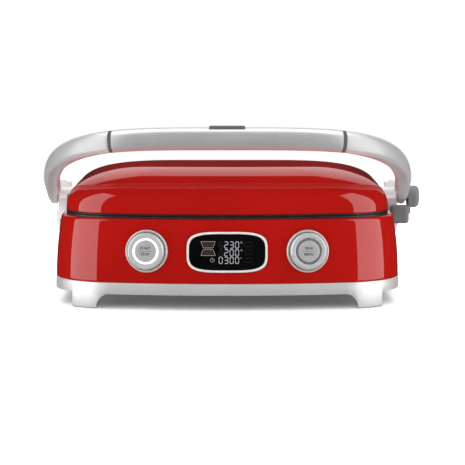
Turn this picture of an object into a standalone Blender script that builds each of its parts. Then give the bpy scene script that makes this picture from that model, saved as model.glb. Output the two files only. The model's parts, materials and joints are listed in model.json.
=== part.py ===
"""Contact grill: a ribbed lower plate in a flared base, and a lid on a floating rear hinge.

Model axes, in metres: X to the grill's right as its user sees it, Y to the rear, Z up.
X is zero on the body's middle plane, Y on the foremost line of the housing, Z on the table.
"""
import math

import bmesh
import bpy
from mathutils import Matrix, Vector

# Shared clearances
CLEARANCE = 0.0003
RUNNING_GAP = 0.0006
CUT_OVERRUN = 0.003
MERGE_DISTANCE = 0.00001

# Body outline in plan
BODY_WIDTH = 0.3766
BODY_DEPTH = 0.263
FRONT_BOW_RADIUS = 0.650
FRONT_CORNER_RADIUS = 0.075
REAR_CORNER_RADIUS = 0.014
LEAST_CORNER_RADIUS = 0.004
FRONT_STEPS = 10
FRONT_CORNER_STEPS = 6
REAR_CORNER_STEPS = 3

# Heights above the table
FOOT_CLEARANCE = 0.0008
SKIRT_BOTTOM = 0.0160
SKIRT_TOP = 0.0284
BASE_BOTTOM = SKIRT_TOP + CLEARANCE
BASE_TOP = 0.0966
HINGE_HEIGHT = 0.0975
LID_BOTTOM = 0.1013
LID_TOP = 0.1465

# Base housing, whose flanks lean in towards the top and round over into its rim
BASE_LEAN = 0.0064
BASE_RIM_ROUND = 0.0032
BASE_FLANK_SHARES = (0.0, 0.25, 0.5, 0.75)
BASE_RIM_STEPS = 3
HOUSING_WALL = 0.0024
PLATE_OPENING_INSET = 0.024
OPENING_LIP_DROP = 0.008

# Lid, whose flanks rise steeply from its edge and turn over into a flat crown
LID_EDGE_INSET = 0.0114
LID_CROWN_INSET = 0.0954
LID_REAR_INSET = 0.066
LID_CROWN_CORNER_RADIUS = 0.046
LID_CROWN_REAR_CORNER_RADIUS = 0.042
LID_FLANK_POWER = 2.7
LID_CROWN_POWER = 1.8
LID_HEIGHT_SHARES = (0.0, 0.15, 0.3, 0.44, 0.57, 0.68, 0.77, 0.85, 0.915, 0.96, 0.988, 0.998, 1.0)

# Silver skirt and feet
SKIRT_PROUD = 0.0005
SKIRT_EDGE_ROUND = 0.0012
SKIRT_RING_INSET = 0.012
FOOT_OUTER_X = 0.1674
FOOT_INNER_X = 0.1407
FOOT_FILLET_X = 0.1276
FOOT_OUTER_FILLET = 0.0075
FOOT_FILLET_WIDTH_SHARE = 0.86
FOOT_FILLET_HEIGHT_SHARE = 0.9
FOOT_ROOT = 0.0005
FOOT_LENGTH = 0.045
FOOT_FRONT_LENGTH = 0.062
FOOT_FILLET_STEPS = 4
PAD_RADIUS = 0.0085
PAD_HEIGHT = 0.0033
PAD_FROM_FOOT_END = 0.016
PAD_STEPS = 16

# Bottom cover, with the tray runners and the posts that carry what is above it
COVER_THICKNESS = 0.0025
COVER_LIFT = FOOT_ROOT + CLEARANCE
POST_RADIUS = 0.006
POST_X = 0.130
POST_FRONT_Y = 0.060
POST_REAR_Y = 0.205
RUNNER_X = 0.078
RUNNER_WIDTH = 0.006
RUNNER_END_INSET = 0.018
BOARD_POST_X = 0.062
BOARD_POST_WIDTH = 0.010
BOARD_POST_DEPTH = 0.004

# Drip tray
TRAY_WIDTH = 0.184
TRAY_LENGTH = 0.166
TRAY_BOTTOM = 0.0302
TRAY_TOP = 0.0462
TRAY_WALL = 0.0016
TRAY_FACE_WIDTH = 0.196
TRAY_FACE_LAP = 0.0008
TRAY_FACE_THICKNESS = 0.003
TRAY_GRIP_WIDTH = 0.060
TRAY_GRIP_REACH = 0.008
TRAY_GRIP_THICKNESS = 0.003

# Cooking plates, the same above and below the split
PLATE_RIM_INSET = 0.0143
PLATE_RIM_THICKNESS = 0.0018
PLATE_PAN_CLEARANCE = 0.0006
PLATE_PAN_DEPTH = 0.0081
PLATE_FLOOR = 0.004
PLATE_WALL = 0.004
PLATE_DRAFT = 0.003
RIB_PITCH = 0.0136
RIB_BASE_WIDTH = 0.0056
RIB_TIP_WIDTH = 0.0028
RIB_HEIGHT = 0.0052
RIB_ROOT = 0.001
CHANNEL_WIDTH = 0.013
DRAIN_WIDTH = 0.034
DRAIN_LENGTH = 0.009
DRAIN_WALL = 0.0018
DRAIN_DROP = 0.014

# Heating elements and their reflectors
ELEMENT_RADIUS = 0.0035
ELEMENT_SPREAD_X = 0.122
ELEMENT_MIDDLE_X = 0.044
ELEMENT_FRONT_Y = 0.048
ELEMENT_BEND_Y = 0.108
ELEMENT_REAR_Y = 0.214
ELEMENT_GAP_X = 0.018
ELEMENT_BEND_RADIUS = 0.016
ELEMENT_BEND_STEPS = 2
REFLECTOR_INSET = 0.0200
REFLECTOR_WALL = 0.0012

# Control panel: the two dials, their push caps and the display
DIAL_X = 0.0856
DIAL_Z = 0.0629
BEZEL_RADIUS = 0.02275
BEZEL_BORE = 0.0202
BEZEL_SPIGOT_RADIUS = 0.0213
BEZEL_PROUD = 0.0028
BEZEL_DEPTH = 0.0080
DIAL_RADIUS = 0.0197
DIAL_BORE = 0.0139
DIAL_PROUD = 0.0098
DIAL_DISH = 0.0012
DIAL_EDGE = 0.0012
RING_OUTER_RADIUS = 0.0135
RING_BORE = 0.0119
RING_PROUD = 0.0088
CAP_RADIUS = 0.0116
CAP_PROUD = 0.0098
CAP_THICKNESS = 0.0040
CAP_STEM_RADIUS = 0.0045
BUTTON_TRAVEL = 0.0015
ENCODER_RADIUS = 0.0208
ENCODER_THICKNESS = 0.0045
TURN_STEPS = 32
HIDDEN_STEPS = 24
ROD_STEPS = 20

DISPLAY_Z = 0.0623
DISPLAY_WIDTH = 0.0860
DISPLAY_HEIGHT = 0.0434
DISPLAY_FRAME = 0.0027
DISPLAY_SPIGOT_WALL = 0.0008
DISPLAY_PROUD = 0.0022
DISPLAY_DEPTH = 0.0060
DISPLAY_RECESS = 0.0010
DISPLAY_SQUARENESS = 4.6
DISPLAY_POINTS = 32
WINDOW_THICKNESS = 0.0030
MODULE_WIDTH = 0.066
MODULE_HEIGHT = 0.028
BOARD_Y = 0.0245
BOARD_THICKNESS = 0.0016
BOARD_WIDTH = 0.230
BOARD_BOTTOM = 0.044
BOARD_TOP = 0.074

# Rear hinge
HINGE_BEHIND_WALL = 0.012
HINGE_Y = BODY_DEPTH + HINGE_BEHIND_WALL
SHAFT_RADIUS = 0.005
FLOAT_TRAVEL = 0.010
TOWER_INNER_X = 0.1872
TOWER_OUTER_X = 0.2018
TOWER_FLARE_X = 0.2048
TOWER_ABOVE_HINGE = 0.0212
TOWER_FLARE_BELOW_HINGE = 0.0136
TOWER_FLARE_DEPTH = 0.0112
TOWER_TOP = HINGE_HEIGHT + TOWER_ABOVE_HINGE
TOWER_FLARE_TOP = HINGE_HEIGHT - TOWER_FLARE_BELOW_HINGE
TOWER_FLARE_LOW = TOWER_FLARE_TOP - TOWER_FLARE_DEPTH
TOWER_WAIST_Z = 0.0587
TOWER_DEPTH = 0.0250
TOWER_CORNER = 0.0070
TOWER_EDGE = 0.0030
TOWER_CORNER_STEPS = 3
BRACKET_BOTTOM = 0.0427
BRACKET_TOP = 0.0777
BRACKET_INNER_X = 0.1400
BRACKET_THICKNESS = 0.0065
BUSH_SIZE = 0.0132
SCREW_INNER_X = 0.1500
SCREW_OUTER_X = 0.1740
SCREW_Z = 0.0602
SCREW_RADIUS = 0.0020
SCREW_HEAD_RADIUS = 0.0040
SCREW_HEAD_HEIGHT = 0.0024
SCREW_DOME_SHARES = ((0.6, 0.85), (1.0, 0.3))
SCREW_LENGTH = 0.0120
SCREW_STEPS = 10
SCREW_HOLE_STEPS = 12

# Handle: a bowed bar across the front whose arms run down to the hinge
ARM_OUTER_X = 0.2133
BAR_Y = 0.046
BAR_Z = 0.1803
ARCH_SIDE_POWER = 3.95
ARCH_FRONT_POWER = 3.4
BAR_HALF_DEPTH = 0.0100
BAR_HALF_HEIGHT = 0.0122
ARM_HALF_WIDTH = 0.0089
ARM_HALF_HEIGHT = 0.0089
ARM_ROOT_HALF_WIDTH = 0.0055
ARM_SWELL_SHARES = (0.09, 0.25)
SECTION_GROWTH_POWER = 0.65
ARM_TAPER_LENGTH = 0.017
ARM_END_SHARE = 0.35
BAND_X = 0.125
BAND_WIDTH = 0.0035
BAND_INSET = 0.0004
ARM_ROOT_SHARES = (0.0, 0.035, 0.07, 0.1, 0.14, 0.18, 0.23)
ARM_STEPS = 8
GRIP_STEPS = 14
ARM_END_STEPS = 4
ARM_END_TURN = math.radians(82)
HANDLE_SECTION_SHARES = (
    (-0.58, -1.0), (0.58, -1.0), (0.93, -0.68), (1.0, -0.25), (0.98, 0.2), (0.86, 0.6),
    (0.62, 0.87), (0.24, 1.0), (-0.24, 1.0), (-0.62, 0.87), (-0.86, 0.6), (-0.98, 0.2),
    (-1.0, -0.25), (-0.93, -0.68),
)
REST_PAD_WIDTH = 0.0387
REST_PAD_DEPTH = 0.0104
REST_PAD_PROUD = 0.0016
REST_PAD_SUNK = 0.0022
REST_PAD_ROUND = 0.0010
LUG_RADIUS = 0.0070
LUG_AHEAD = 0.034
LUG_ABOVE_HINGE = 0.0078
LUG_Z = HINGE_HEIGHT + LUG_ABOVE_HINGE

# Hinge release lever, on the right
LEVER_HUB_RADIUS = 0.0132
LEVER_HUB_WIDTH = 0.0146
LEVER_HUB_EDGE = 0.0096
LEVER_HUB_EDGE_STEPS = 4
LEVER_HUB_WALL = 0.0030
LEVER_WEB = 0.0030
LEVER_WEB_LAP = 0.0100
LEVER_SIDE_GAP = 0.0008
LEVER_BELOW_HINGE = (0.0086, 0.0304)
LEVER_TOP = HINGE_HEIGHT - LEVER_BELOW_HINGE[0]
LEVER_BOTTOM = HINGE_HEIGHT - LEVER_BELOW_HINGE[1]
LEVER_INNER_X = 0.1932
LEVER_OUTER_SHARE = 0.4
LEVER_FRONT = 0.0255
LEVER_REAR = 0.0050
LEVER_ROUND = 0.0040
LEVER_STEPS = 22

# Plate release buttons, on the left
RELEASE_Y = 0.135
RELEASE_WIDTH = 0.020
RELEASE_HEIGHT = 0.0060
RELEASE_LOWER_Z = 0.0825
RELEASE_UPPER_Z = 0.1095
RELEASE_PROUD = 0.0035
RELEASE_REACH = 0.0056
RELEASE_FLANGE = 0.0012

# Mains inlet gland, at the rear
GLAND_Z = 0.0647
GLAND_FLANGE_RADIUS = 0.0105
GLAND_RADIUS = 0.0075
GLAND_BORE = 0.0036
GLAND_PROUD = 0.0080
GLAND_FLANGE = 0.0020
GLAND_DEPTH = 0.0060
GLAND_STEPS = 24

# Colours, then roughness and metallic value
RED_ENAMEL = ((0.38, 0.008, 0.006), 0.14, 0.0)
SATIN_SILVER = ((0.62, 0.62, 0.61), 0.34, 0.9)
DARK_PLASTIC = ((0.055, 0.055, 0.058), 0.5, 0.0)
GREY_PLASTIC = ((0.13, 0.13, 0.135), 0.5, 0.0)
CAST_PLATE = ((0.03, 0.03, 0.032), 0.45, 0.2)
STEEL = ((0.5, 0.5, 0.5), 0.3, 1.0)
RUBBER = ((0.02, 0.02, 0.02), 0.85, 0.0)
DARK_GLASS = ((0.006, 0.006, 0.008), 0.05, 0.0)
LIGHT_RING = ((0.75, 0.76, 0.78), 0.3, 0.0)
BOARD_GREEN = ((0.02, 0.12, 0.05), 0.5, 0.0)
CAP_GREY = ((0.42, 0.42, 0.42), 0.4, 0.6)

ABOUT_X = Matrix.Rotation(math.pi / 2, 4, "Y")
STANDING = Matrix.Rotation(math.pi / 2, 4, "X")
FACING_REAR = Matrix.Rotation(-math.pi / 2, 4, "X")


def clear_scene():
    for item in list(bpy.data.objects):
        bpy.data.objects.remove(item, do_unlink=True)


def collection(name):
    made = bpy.data.collections.new(name)
    bpy.context.scene.collection.children.link(made)
    return made


def material(name, look):
    colour, roughness, metallic = look
    made = bpy.data.materials.new(name)
    made.use_nodes = True
    shader = made.node_tree.nodes["Principled BSDF"]
    shader.inputs["Base Color"].default_value = (*colour, 1.0)
    shader.inputs["Roughness"].default_value = roughness
    shader.inputs["Metallic"].default_value = metallic
    return made


def smooth(item):
    item.data.shade_smooth()
    item.data.set_sharp_from_angle(angle=math.radians(32))


def add_mesh(name, mesh):
    """A new object in the grill's collection, from a bmesh whose faces are turned outwards."""
    bmesh.ops.recalc_face_normals(mesh, faces=mesh.faces)
    data = bpy.data.meshes.new(name)
    mesh.to_mesh(data)
    mesh.free()
    item = bpy.data.objects.new(name, data)
    PARTS.objects.link(item)
    smooth(item)
    return item


def finish_piece(item, look, name=None):
    """Gives the piece a material of its own."""
    item.data.materials.append(material(name or item.name + "_finish", look))
    return item


def as_cutter(item):
    """Moves a helper solid out of the parts."""
    PARTS.objects.unlink(item)
    CUTTERS.objects.link(item)
    item.hide_render = True
    item.display_type = "WIRE"
    return item


def boolean(target, helper, operation):
    step = target.modifiers.new(helper.name, "BOOLEAN")
    step.operation = operation
    step.object = as_cutter(helper)
    step.solver = "EXACT"


def cut(target, helper):
    boolean(target, helper, "DIFFERENCE")


def join(target, helper):
    boolean(target, helper, "UNION")


def round_edges(item, width, segments=2):
    step = item.modifiers.new("rounded_edges", "BEVEL")
    step.width = width
    step.segments = segments
    step.limit_method = "ANGLE"
    step.angle_limit = math.radians(40)


def box(name, low, high):
    """A box between two opposite corners."""
    low, high = Vector(low), Vector(high)
    size = Matrix.Diagonal((*(high - low), 1.0))
    mesh = bmesh.new()
    bmesh.ops.create_cube(mesh, size=1.0, matrix=Matrix.Translation((low + high) / 2) @ size)
    return add_mesh(name, mesh)


def rod(name, radius, start, end, steps=ROD_STEPS):
    """A round bar between two points."""
    start, end = Vector(start), Vector(end)
    turn = (end - start).to_track_quat("Z", "Y").to_matrix().to_4x4()
    mesh = bmesh.new()
    bmesh.ops.create_cone(
        mesh, cap_ends=True, segments=steps, radius1=radius, radius2=radius,
        depth=(end - start).length, matrix=Matrix.Translation((start + end) / 2) @ turn,
    )
    return add_mesh(name, mesh)


def turned(name, profile, place, steps=TURN_STEPS, closed=False):
    """Turns a profile of radius and height, listed down its outer side, about the place's Z."""
    data = bpy.data.meshes.new(name)
    points = [(radius, 0.0, height) for radius, height in profile]
    edges = [(k, k + 1) for k in range(len(points) - 1)]
    if closed:
        edges.append((len(points) - 1, 0))
    data.from_pydata(points, edges, [])
    item = bpy.data.objects.new(name, data)
    PARTS.objects.link(item)
    item.matrix_world = place
    screw = item.modifiers.new("turning", "SCREW")
    screw.axis = "Z"
    screw.steps = steps
    screw.render_steps = steps
    screw.use_merge_vertices = True
    screw.merge_threshold = MERGE_DISTANCE
    screw.use_smooth_shade = True
    return item


def from_curve(curve, name):
    """Turns a curve object into a mesh object with welded caps."""
    bpy.context.view_layer.update()
    shape = curve.evaluated_get(bpy.context.evaluated_depsgraph_get())
    data = bpy.data.meshes.new_from_object(shape)
    mesh = bmesh.new()
    mesh.from_mesh(data)
    bmesh.ops.remove_doubles(mesh, verts=mesh.verts, dist=MERGE_DISTANCE)
    mesh.transform(curve.matrix_world)
    bpy.data.objects.remove(curve, do_unlink=True)
    return add_mesh(name, mesh)


def slab(name, outline, thickness, place):
    """A flat outline given a thickness, centred on the place's XY plane."""
    data = bpy.data.curves.new(name, "CURVE")
    data.dimensions = "2D"
    data.fill_mode = "BOTH"
    data.extrude = thickness / 2
    line = data.splines.new("POLY")
    line.points.add(len(outline) - 1)
    for point, (x, y) in zip(line.points, outline):
        point.co = (x, y, 0.0, 1.0)
    line.use_cyclic_u = True
    curve = bpy.data.objects.new(name, data)
    PARTS.objects.link(curve)
    curve.matrix_world = place
    return from_curve(curve, name)


def tube(name, points, radius):
    """A round tube along a list of points."""
    data = bpy.data.curves.new(name, "CURVE")
    data.dimensions = "3D"
    data.bevel_depth = radius
    data.bevel_resolution = 2
    data.use_fill_caps = True
    line = data.splines.new("POLY")
    line.points.add(len(points) - 1)
    for point, place in zip(line.points, points):
        point.co = (*place, 1.0)
    curve = bpy.data.objects.new(name, data)
    PARTS.objects.link(curve)
    return from_curve(curve, name)


def loft(name, rings, ring_shaped=False, open_low=False):
    """A solid through rings of equally many points; a ring-shaped one closes on its first ring."""
    mesh = bmesh.new()
    loops = [[mesh.verts.new(point) for point in ring] for ring in rings]
    if ring_shaped:
        pairs = list(zip(loops, loops[1:] + loops[:1]))
    else:
        pairs = list(zip(loops, loops[1:]))
    for low, high in pairs:
        for k in range(len(low)):
            n = (k + 1) % len(low)
            mesh.faces.new((low[k], low[n], high[n], high[k]))
    if not ring_shaped:
        if not open_low:
            mesh.faces.new(list(reversed(loops[0])))
        mesh.faces.new(loops[-1])
    return add_mesh(name, mesh)


def arc(centre_x, centre_y, radius, first, last, steps):
    """Points along an arc, whose angle runs from straight ahead, -Y, towards the right, +X."""
    angles = [first + (last - first) * k / steps for k in range(steps + 1)]
    return [
        (centre_x + radius * math.sin(a), centre_y - radius * math.cos(a)) for a in angles
    ]


def plan_outline(inset, rear_inset=None, corner=None, rear_corner=None):
    """The body's outline in plan, drawn in by an inset: bowed front, straight sides and rear."""
    half_width = BODY_WIDTH / 2 - inset
    front = FRONT_BOW_RADIUS - inset
    corner = corner or max(FRONT_CORNER_RADIUS - inset, LEAST_CORNER_RADIUS)
    rear_corner = rear_corner or max(REAR_CORNER_RADIUS - inset, LEAST_CORNER_RADIUS)
    rear = BODY_DEPTH - (inset if rear_inset is None else rear_inset)
    corner_x = half_width - corner
    corner_y = FRONT_BOW_RADIUS - math.sqrt((front - corner) ** 2 - corner_x ** 2)
    turn = math.atan2(corner_x, FRONT_BOW_RADIUS - corner_y)
    right = arc(corner_x, corner_y, corner, turn, math.pi / 2, FRONT_CORNER_STEPS)[1:]
    right += arc(
        half_width - rear_corner, rear - rear_corner, rear_corner, math.pi / 2, math.pi,
        REAR_CORNER_STEPS,
    )
    left = [(-x, y) for x, y in reversed(right)]
    return arc(0.0, FRONT_BOW_RADIUS, front, -turn, turn, FRONT_STEPS) + right + left


def ring(outline, z):
    return [(x, y, z) for x, y in outline]


def base_inset(z):
    """How far the housing's wall stands in from its lower edge at a height, and its lean there."""
    height = BASE_TOP - BASE_BOTTOM
    share = (z - BASE_BOTTOM) / height
    over = max(z - (BASE_TOP - BASE_RIM_ROUND), 0.0)
    rim = BASE_RIM_ROUND - math.sqrt(max(BASE_RIM_ROUND ** 2 - over ** 2, 0.0))
    return BASE_LEAN * share ** 2 + rim, 2 * BASE_LEAN * share / height


def lid_turn_share(share):
    """How much of the way in to the crown the lid's wall has turned at a share of its height."""
    return 1 - (1 - share ** LID_FLANK_POWER) ** (1 / LID_CROWN_POWER)


def lid_inset(z):
    """How far the lid's wall stands in from the body's outline at a height."""
    turned_in = lid_turn_share((z - LID_BOTTOM) / (LID_TOP - LID_BOTTOM))
    return LID_EDGE_INSET + (LID_CROWN_INSET - LID_EDGE_INSET) * turned_in


def front_frame(x, z):
    """A frame on the housing's front: its Z is the wall's outward normal and its Y points up."""
    inset, slope = base_inset(z)
    radius = FRONT_BOW_RADIUS - inset
    y = FRONT_BOW_RADIUS - math.sqrt(radius ** 2 - x ** 2)
    across = math.asin(x / radius)
    tilt = math.atan(slope)
    out = Vector((
        math.sin(across) * math.cos(tilt), -math.cos(across) * math.cos(tilt), math.sin(tilt),
    ))
    up = (Vector((0.0, 0.0, 1.0)) - out * out.z).normalized()
    side = up.cross(out)
    frame = Matrix((side, up, out)).transposed().to_4x4()
    return Matrix.Translation((x, y, z)) @ frame


# Base housing, skirt and bottom cover

def base_shell():
    heights = [BASE_BOTTOM + share * (BASE_TOP - BASE_BOTTOM) for share in BASE_FLANK_SHARES]
    for k in range(BASE_RIM_STEPS + 1):
        lift = math.sin(math.pi / 2 * k / BASE_RIM_STEPS)
        heights.append(BASE_TOP - BASE_RIM_ROUND * (1 - lift))
    rings = [ring(plan_outline(base_inset(z)[0], rear_inset=0.0), z) for z in heights]
    rings.append(ring(plan_outline(PLATE_OPENING_INSET), BASE_TOP))
    rings.append(ring(plan_outline(PLATE_OPENING_INSET), BASE_TOP - OPENING_LIP_DROP))
    mesh = bmesh.new()
    loops = [[mesh.verts.new(point) for point in points] for points in rings]
    for low, high in zip(loops, loops[1:]):
        for k in range(len(low)):
            n = (k + 1) % len(low)
            mesh.faces.new((low[k], low[n], high[n], high[k]))
    data = bpy.data.meshes.new("base_shell")
    mesh.to_mesh(data)
    mesh.free()
    shell = bpy.data.objects.new("base_shell", data)
    PARTS.objects.link(shell)
    smooth(shell)
    wall = shell.modifiers.new("wall", "SOLIDIFY")
    wall.thickness = HOUSING_WALL
    wall.offset = -1.0
    for side, x in (("left", -DIAL_X), ("right", DIAL_X)):
        frame = front_frame(x, DIAL_Z)
        reach = HOUSING_WALL + CUT_OVERRUN
        radius = BEZEL_SPIGOT_RADIUS + CLEARANCE
        cut(shell, rod("dial_hole_" + side, radius, frame @ Vector((0.0, 0.0, -reach)),
                       frame @ Vector((0.0, 0.0, CUT_OVERRUN)), TURN_STEPS))
    opening_inset = DISPLAY_FRAME - DISPLAY_SPIGOT_WALL - CLEARANCE * 2
    cut(shell, display_block("display_opening", opening_inset, -HOUSING_WALL - CUT_OVERRUN, CUT_OVERRUN))
    rear = BODY_DEPTH + CUT_OVERRUN
    inside = BODY_DEPTH - HOUSING_WALL - CUT_OVERRUN
    tray_gap = TRAY_WIDTH / 2 + RUNNING_GAP
    cut(shell, box("tray_slot", (-tray_gap, inside, TRAY_BOTTOM - CLEARANCE),
                   (tray_gap, rear, TRAY_TOP + CLEARANCE)))
    for side, sign in (("left", -1), ("right", 1)):
        for row, x in (("inner", SCREW_INNER_X), ("outer", SCREW_OUTER_X)):
            cut(shell, rod(f"wall_screw_hole_{side}_{row}", SCREW_RADIUS + CLEARANCE,
                           (sign * x, inside, SCREW_Z), (sign * x, rear, SCREW_Z), SCREW_HOLE_STEPS))
    gland_gap = GLAND_RADIUS + CLEARANCE
    cut(shell, rod("gland_hole", gland_gap, (0.0, inside, GLAND_Z), (0.0, rear, GLAND_Z)))
    wall_inset, _ = base_inset(RELEASE_LOWER_Z)
    cut(shell, release_opening("lower_release_opening", RELEASE_LOWER_Z, wall_inset))
    return finish_piece(shell, RED_ENAMEL)


def foot_outline(sign):
    """One foot seen from the front, filleted into the rail on both sides."""
    top = SKIRT_BOTTOM + FOOT_ROOT
    fillet_height = SKIRT_BOTTOM - FOOT_CLEARANCE
    fillet_width = FOOT_INNER_X - FOOT_FILLET_X
    points = [(FOOT_INNER_X, FOOT_CLEARANCE), (FOOT_OUTER_X, FOOT_CLEARANCE)]
    for k in range(1, FOOT_FILLET_STEPS + 1):
        angle = math.pi / 2 * k / FOOT_FILLET_STEPS
        points.append((
            FOOT_OUTER_X + FOOT_OUTER_FILLET * (1 - math.cos(angle)),
            SKIRT_BOTTOM - FOOT_OUTER_FILLET * (1 - math.sin(angle)),
        ))
    points.append((FOOT_OUTER_X + FOOT_OUTER_FILLET, top))
    points.append((FOOT_FILLET_X, top))
    for k in range(FOOT_FILLET_STEPS):
        angle = math.pi / 2 * k / FOOT_FILLET_STEPS
        points.append((
            FOOT_FILLET_X + fillet_width * math.sin(angle) * FOOT_FILLET_WIDTH_SHARE,
            SKIRT_BOTTOM - fillet_height * (1 - math.cos(angle)) * FOOT_FILLET_HEIGHT_SHARE,
        ))
    return [(sign * x, z) for x, z in points]


def foot_places():
    """Each foot's name, side and the stretch of depth that it fills."""
    rear = BODY_DEPTH - SKIRT_RING_INSET / 2
    return [
        ("front_left", -1, -SKIRT_PROUD * 2, FOOT_FRONT_LENGTH),
        ("front_right", 1, -SKIRT_PROUD * 2, FOOT_FRONT_LENGTH),
        ("rear_left", -1, rear - FOOT_LENGTH, rear),
        ("rear_right", 1, rear - FOOT_LENGTH, rear),
    ]


def pad_centre(place, sign, start, end):
    """A foot pad's centre, set back from the inner end of its foot."""
    x = sign * (FOOT_INNER_X + FOOT_OUTER_X) / 2
    if place.startswith("front"):
        return x, end - PAD_FROM_FOOT_END
    return x, start + PAD_FROM_FOOT_END


def base_frame():
    edge = SKIRT_EDGE_ROUND
    outer = -SKIRT_PROUD
    rings = [
        ring(plan_outline(outer + edge, rear_inset=edge), SKIRT_BOTTOM),
        ring(plan_outline(outer, rear_inset=0.0), SKIRT_BOTTOM + edge * 2),
        ring(plan_outline(outer, rear_inset=0.0), SKIRT_TOP - edge),
        ring(plan_outline(outer + edge, rear_inset=edge), SKIRT_TOP),
        ring(plan_outline(SKIRT_RING_INSET), SKIRT_TOP),
        ring(plan_outline(SKIRT_RING_INSET), SKIRT_BOTTOM),
    ]
    frame = loft("base_frame", rings, ring_shaped=True)
    trim_inset = edge / 4 - SKIRT_PROUD
    for place, sign, start, end in foot_places():
        turn = Matrix.Translation((0.0, (start + end) / 2, 0.0)) @ STANDING
        foot = slab("foot_" + place, foot_outline(sign), end - start, turn)
        trim = loft("foot_trim_" + place, [
            ring(plan_outline(trim_inset), -CUT_OVERRUN),
            ring(plan_outline(trim_inset), SKIRT_TOP + CUT_OVERRUN),
        ])
        boolean(foot, trim, "INTERSECT")
        join(frame, foot)
    for place, sign, start, end in foot_places():
        x, y = pad_centre(place, sign, start, end)
        cut(frame, rod("pad_recess_" + place, PAD_RADIUS + CLEARANCE,
                       (x, y, -CUT_OVERRUN), (x, y, PAD_HEIGHT + CLEARANCE), PAD_STEPS))
    return finish_piece(frame, SATIN_SILVER)


def foot_pads():
    pads = []
    for place, sign, start, end in foot_places():
        x, y = pad_centre(place, sign, start, end)
        pad = rod("foot_pad_" + place, PAD_RADIUS, (x, y, 0.0), (x, y, PAD_HEIGHT), PAD_STEPS)
        pads.append(finish_piece(pad, RUBBER))
    return pads


def reflector_floor():
    """Height of the lower reflector's floor, just under the element."""
    return BASE_TOP - PLATE_PAN_DEPTH - RUNNING_GAP - ELEMENT_RADIUS * 2 - CLEARANCE


def bottom_cover():
    low = SKIRT_BOTTOM + COVER_LIFT
    top = low + COVER_THICKNESS
    outline = plan_outline(SKIRT_RING_INSET + CLEARANCE)
    cover = loft("bottom_cover", [ring(outline, low), ring(outline, top)])
    inside = low + COVER_THICKNESS / 2
    post_top = reflector_floor() - REFLECTOR_WALL - CLEARANCE
    runner = RUNNER_X - RUNNER_WIDTH / 2
    runner_end = BODY_DEPTH - RUNNER_END_INSET
    board_y = BOARD_Y + BOARD_THICKNESS + CLEARANCE
    board_post = BOARD_POST_X - BOARD_POST_WIDTH / 2
    for side, sign in (("left", -1), ("right", 1)):
        for row, y in (("front", POST_FRONT_Y), ("rear", POST_REAR_Y)):
            join(cover, rod(f"post_{row}_{side}", POST_RADIUS, (sign * POST_X, y, inside),
                            (sign * POST_X, y, post_top), PAD_STEPS))
        join(cover, box("runner_" + side, (sign * runner, BODY_DEPTH - TRAY_LENGTH, inside),
                        (sign * (runner + RUNNER_WIDTH), runner_end, TRAY_BOTTOM - CLEARANCE)))
        join(cover, box("board_post_" + side, (sign * board_post, board_y, inside),
                        (sign * (board_post + BOARD_POST_WIDTH), board_y + BOARD_POST_DEPTH, BOARD_TOP)))
    return finish_piece(cover, DARK_PLASTIC)


# Drip tray

def drip_tray():
    rear = BODY_DEPTH - HOUSING_WALL
    half = TRAY_WIDTH / 2
    front = BODY_DEPTH - TRAY_LENGTH
    tray = box("drip_tray", (-half, front, TRAY_BOTTOM), (half, rear, TRAY_TOP))
    cut(tray, box("tray_hollow", (TRAY_WALL - half, front + TRAY_WALL, TRAY_BOTTOM + TRAY_WALL),
                  (half - TRAY_WALL, rear - TRAY_WALL, TRAY_TOP + CUT_OVERRUN)))
    face = BODY_DEPTH + CLEARANCE
    outside = face + TRAY_FACE_THICKNESS
    low = TRAY_BOTTOM - TRAY_FACE_LAP
    top = TRAY_TOP + TRAY_FACE_LAP
    half_face = TRAY_FACE_WIDTH / 2
    half_grip = TRAY_GRIP_WIDTH / 2
    grip_root = face + TRAY_FACE_THICKNESS / 2
    join(tray, box("tray_neck", (-half, rear - TRAY_WALL, TRAY_BOTTOM), (half, face + TRAY_WALL, TRAY_TOP)))
    join(tray, box("tray_face", (-half_face, face, low), (half_face, outside, top)))
    join(tray, box("tray_grip", (-half_grip, grip_root, top - TRAY_GRIP_THICKNESS),
                   (half_grip, outside + TRAY_GRIP_REACH, top)))
    return finish_piece(tray, DARK_PLASTIC)


# Cooking plates, heating elements and reflectors

def pan_inset():
    return PLATE_OPENING_INSET + PLATE_PAN_CLEARANCE


def rib_outline():
    """The ribs in cross-section: a thin root carrying tapered teeth at one pitch."""
    half_span = BODY_WIDTH / 2 - pan_inset() - PLATE_WALL - PLATE_DRAFT - CHANNEL_WIDTH
    count = int(half_span / RIB_PITCH)
    points = []
    for k in range(-count, count + 1):
        centre = k * RIB_PITCH
        points.append((centre - RIB_BASE_WIDTH / 2, 0.0))
        points.append((centre - RIB_TIP_WIDTH / 2, RIB_HEIGHT))
        points.append((centre + RIB_TIP_WIDTH / 2, RIB_HEIGHT))
        points.append((centre + RIB_BASE_WIDTH / 2, 0.0))
    end = count * RIB_PITCH + RIB_BASE_WIDTH / 2
    return [(-end, -RIB_ROOT), *points, (end, -RIB_ROOT)]


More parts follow.
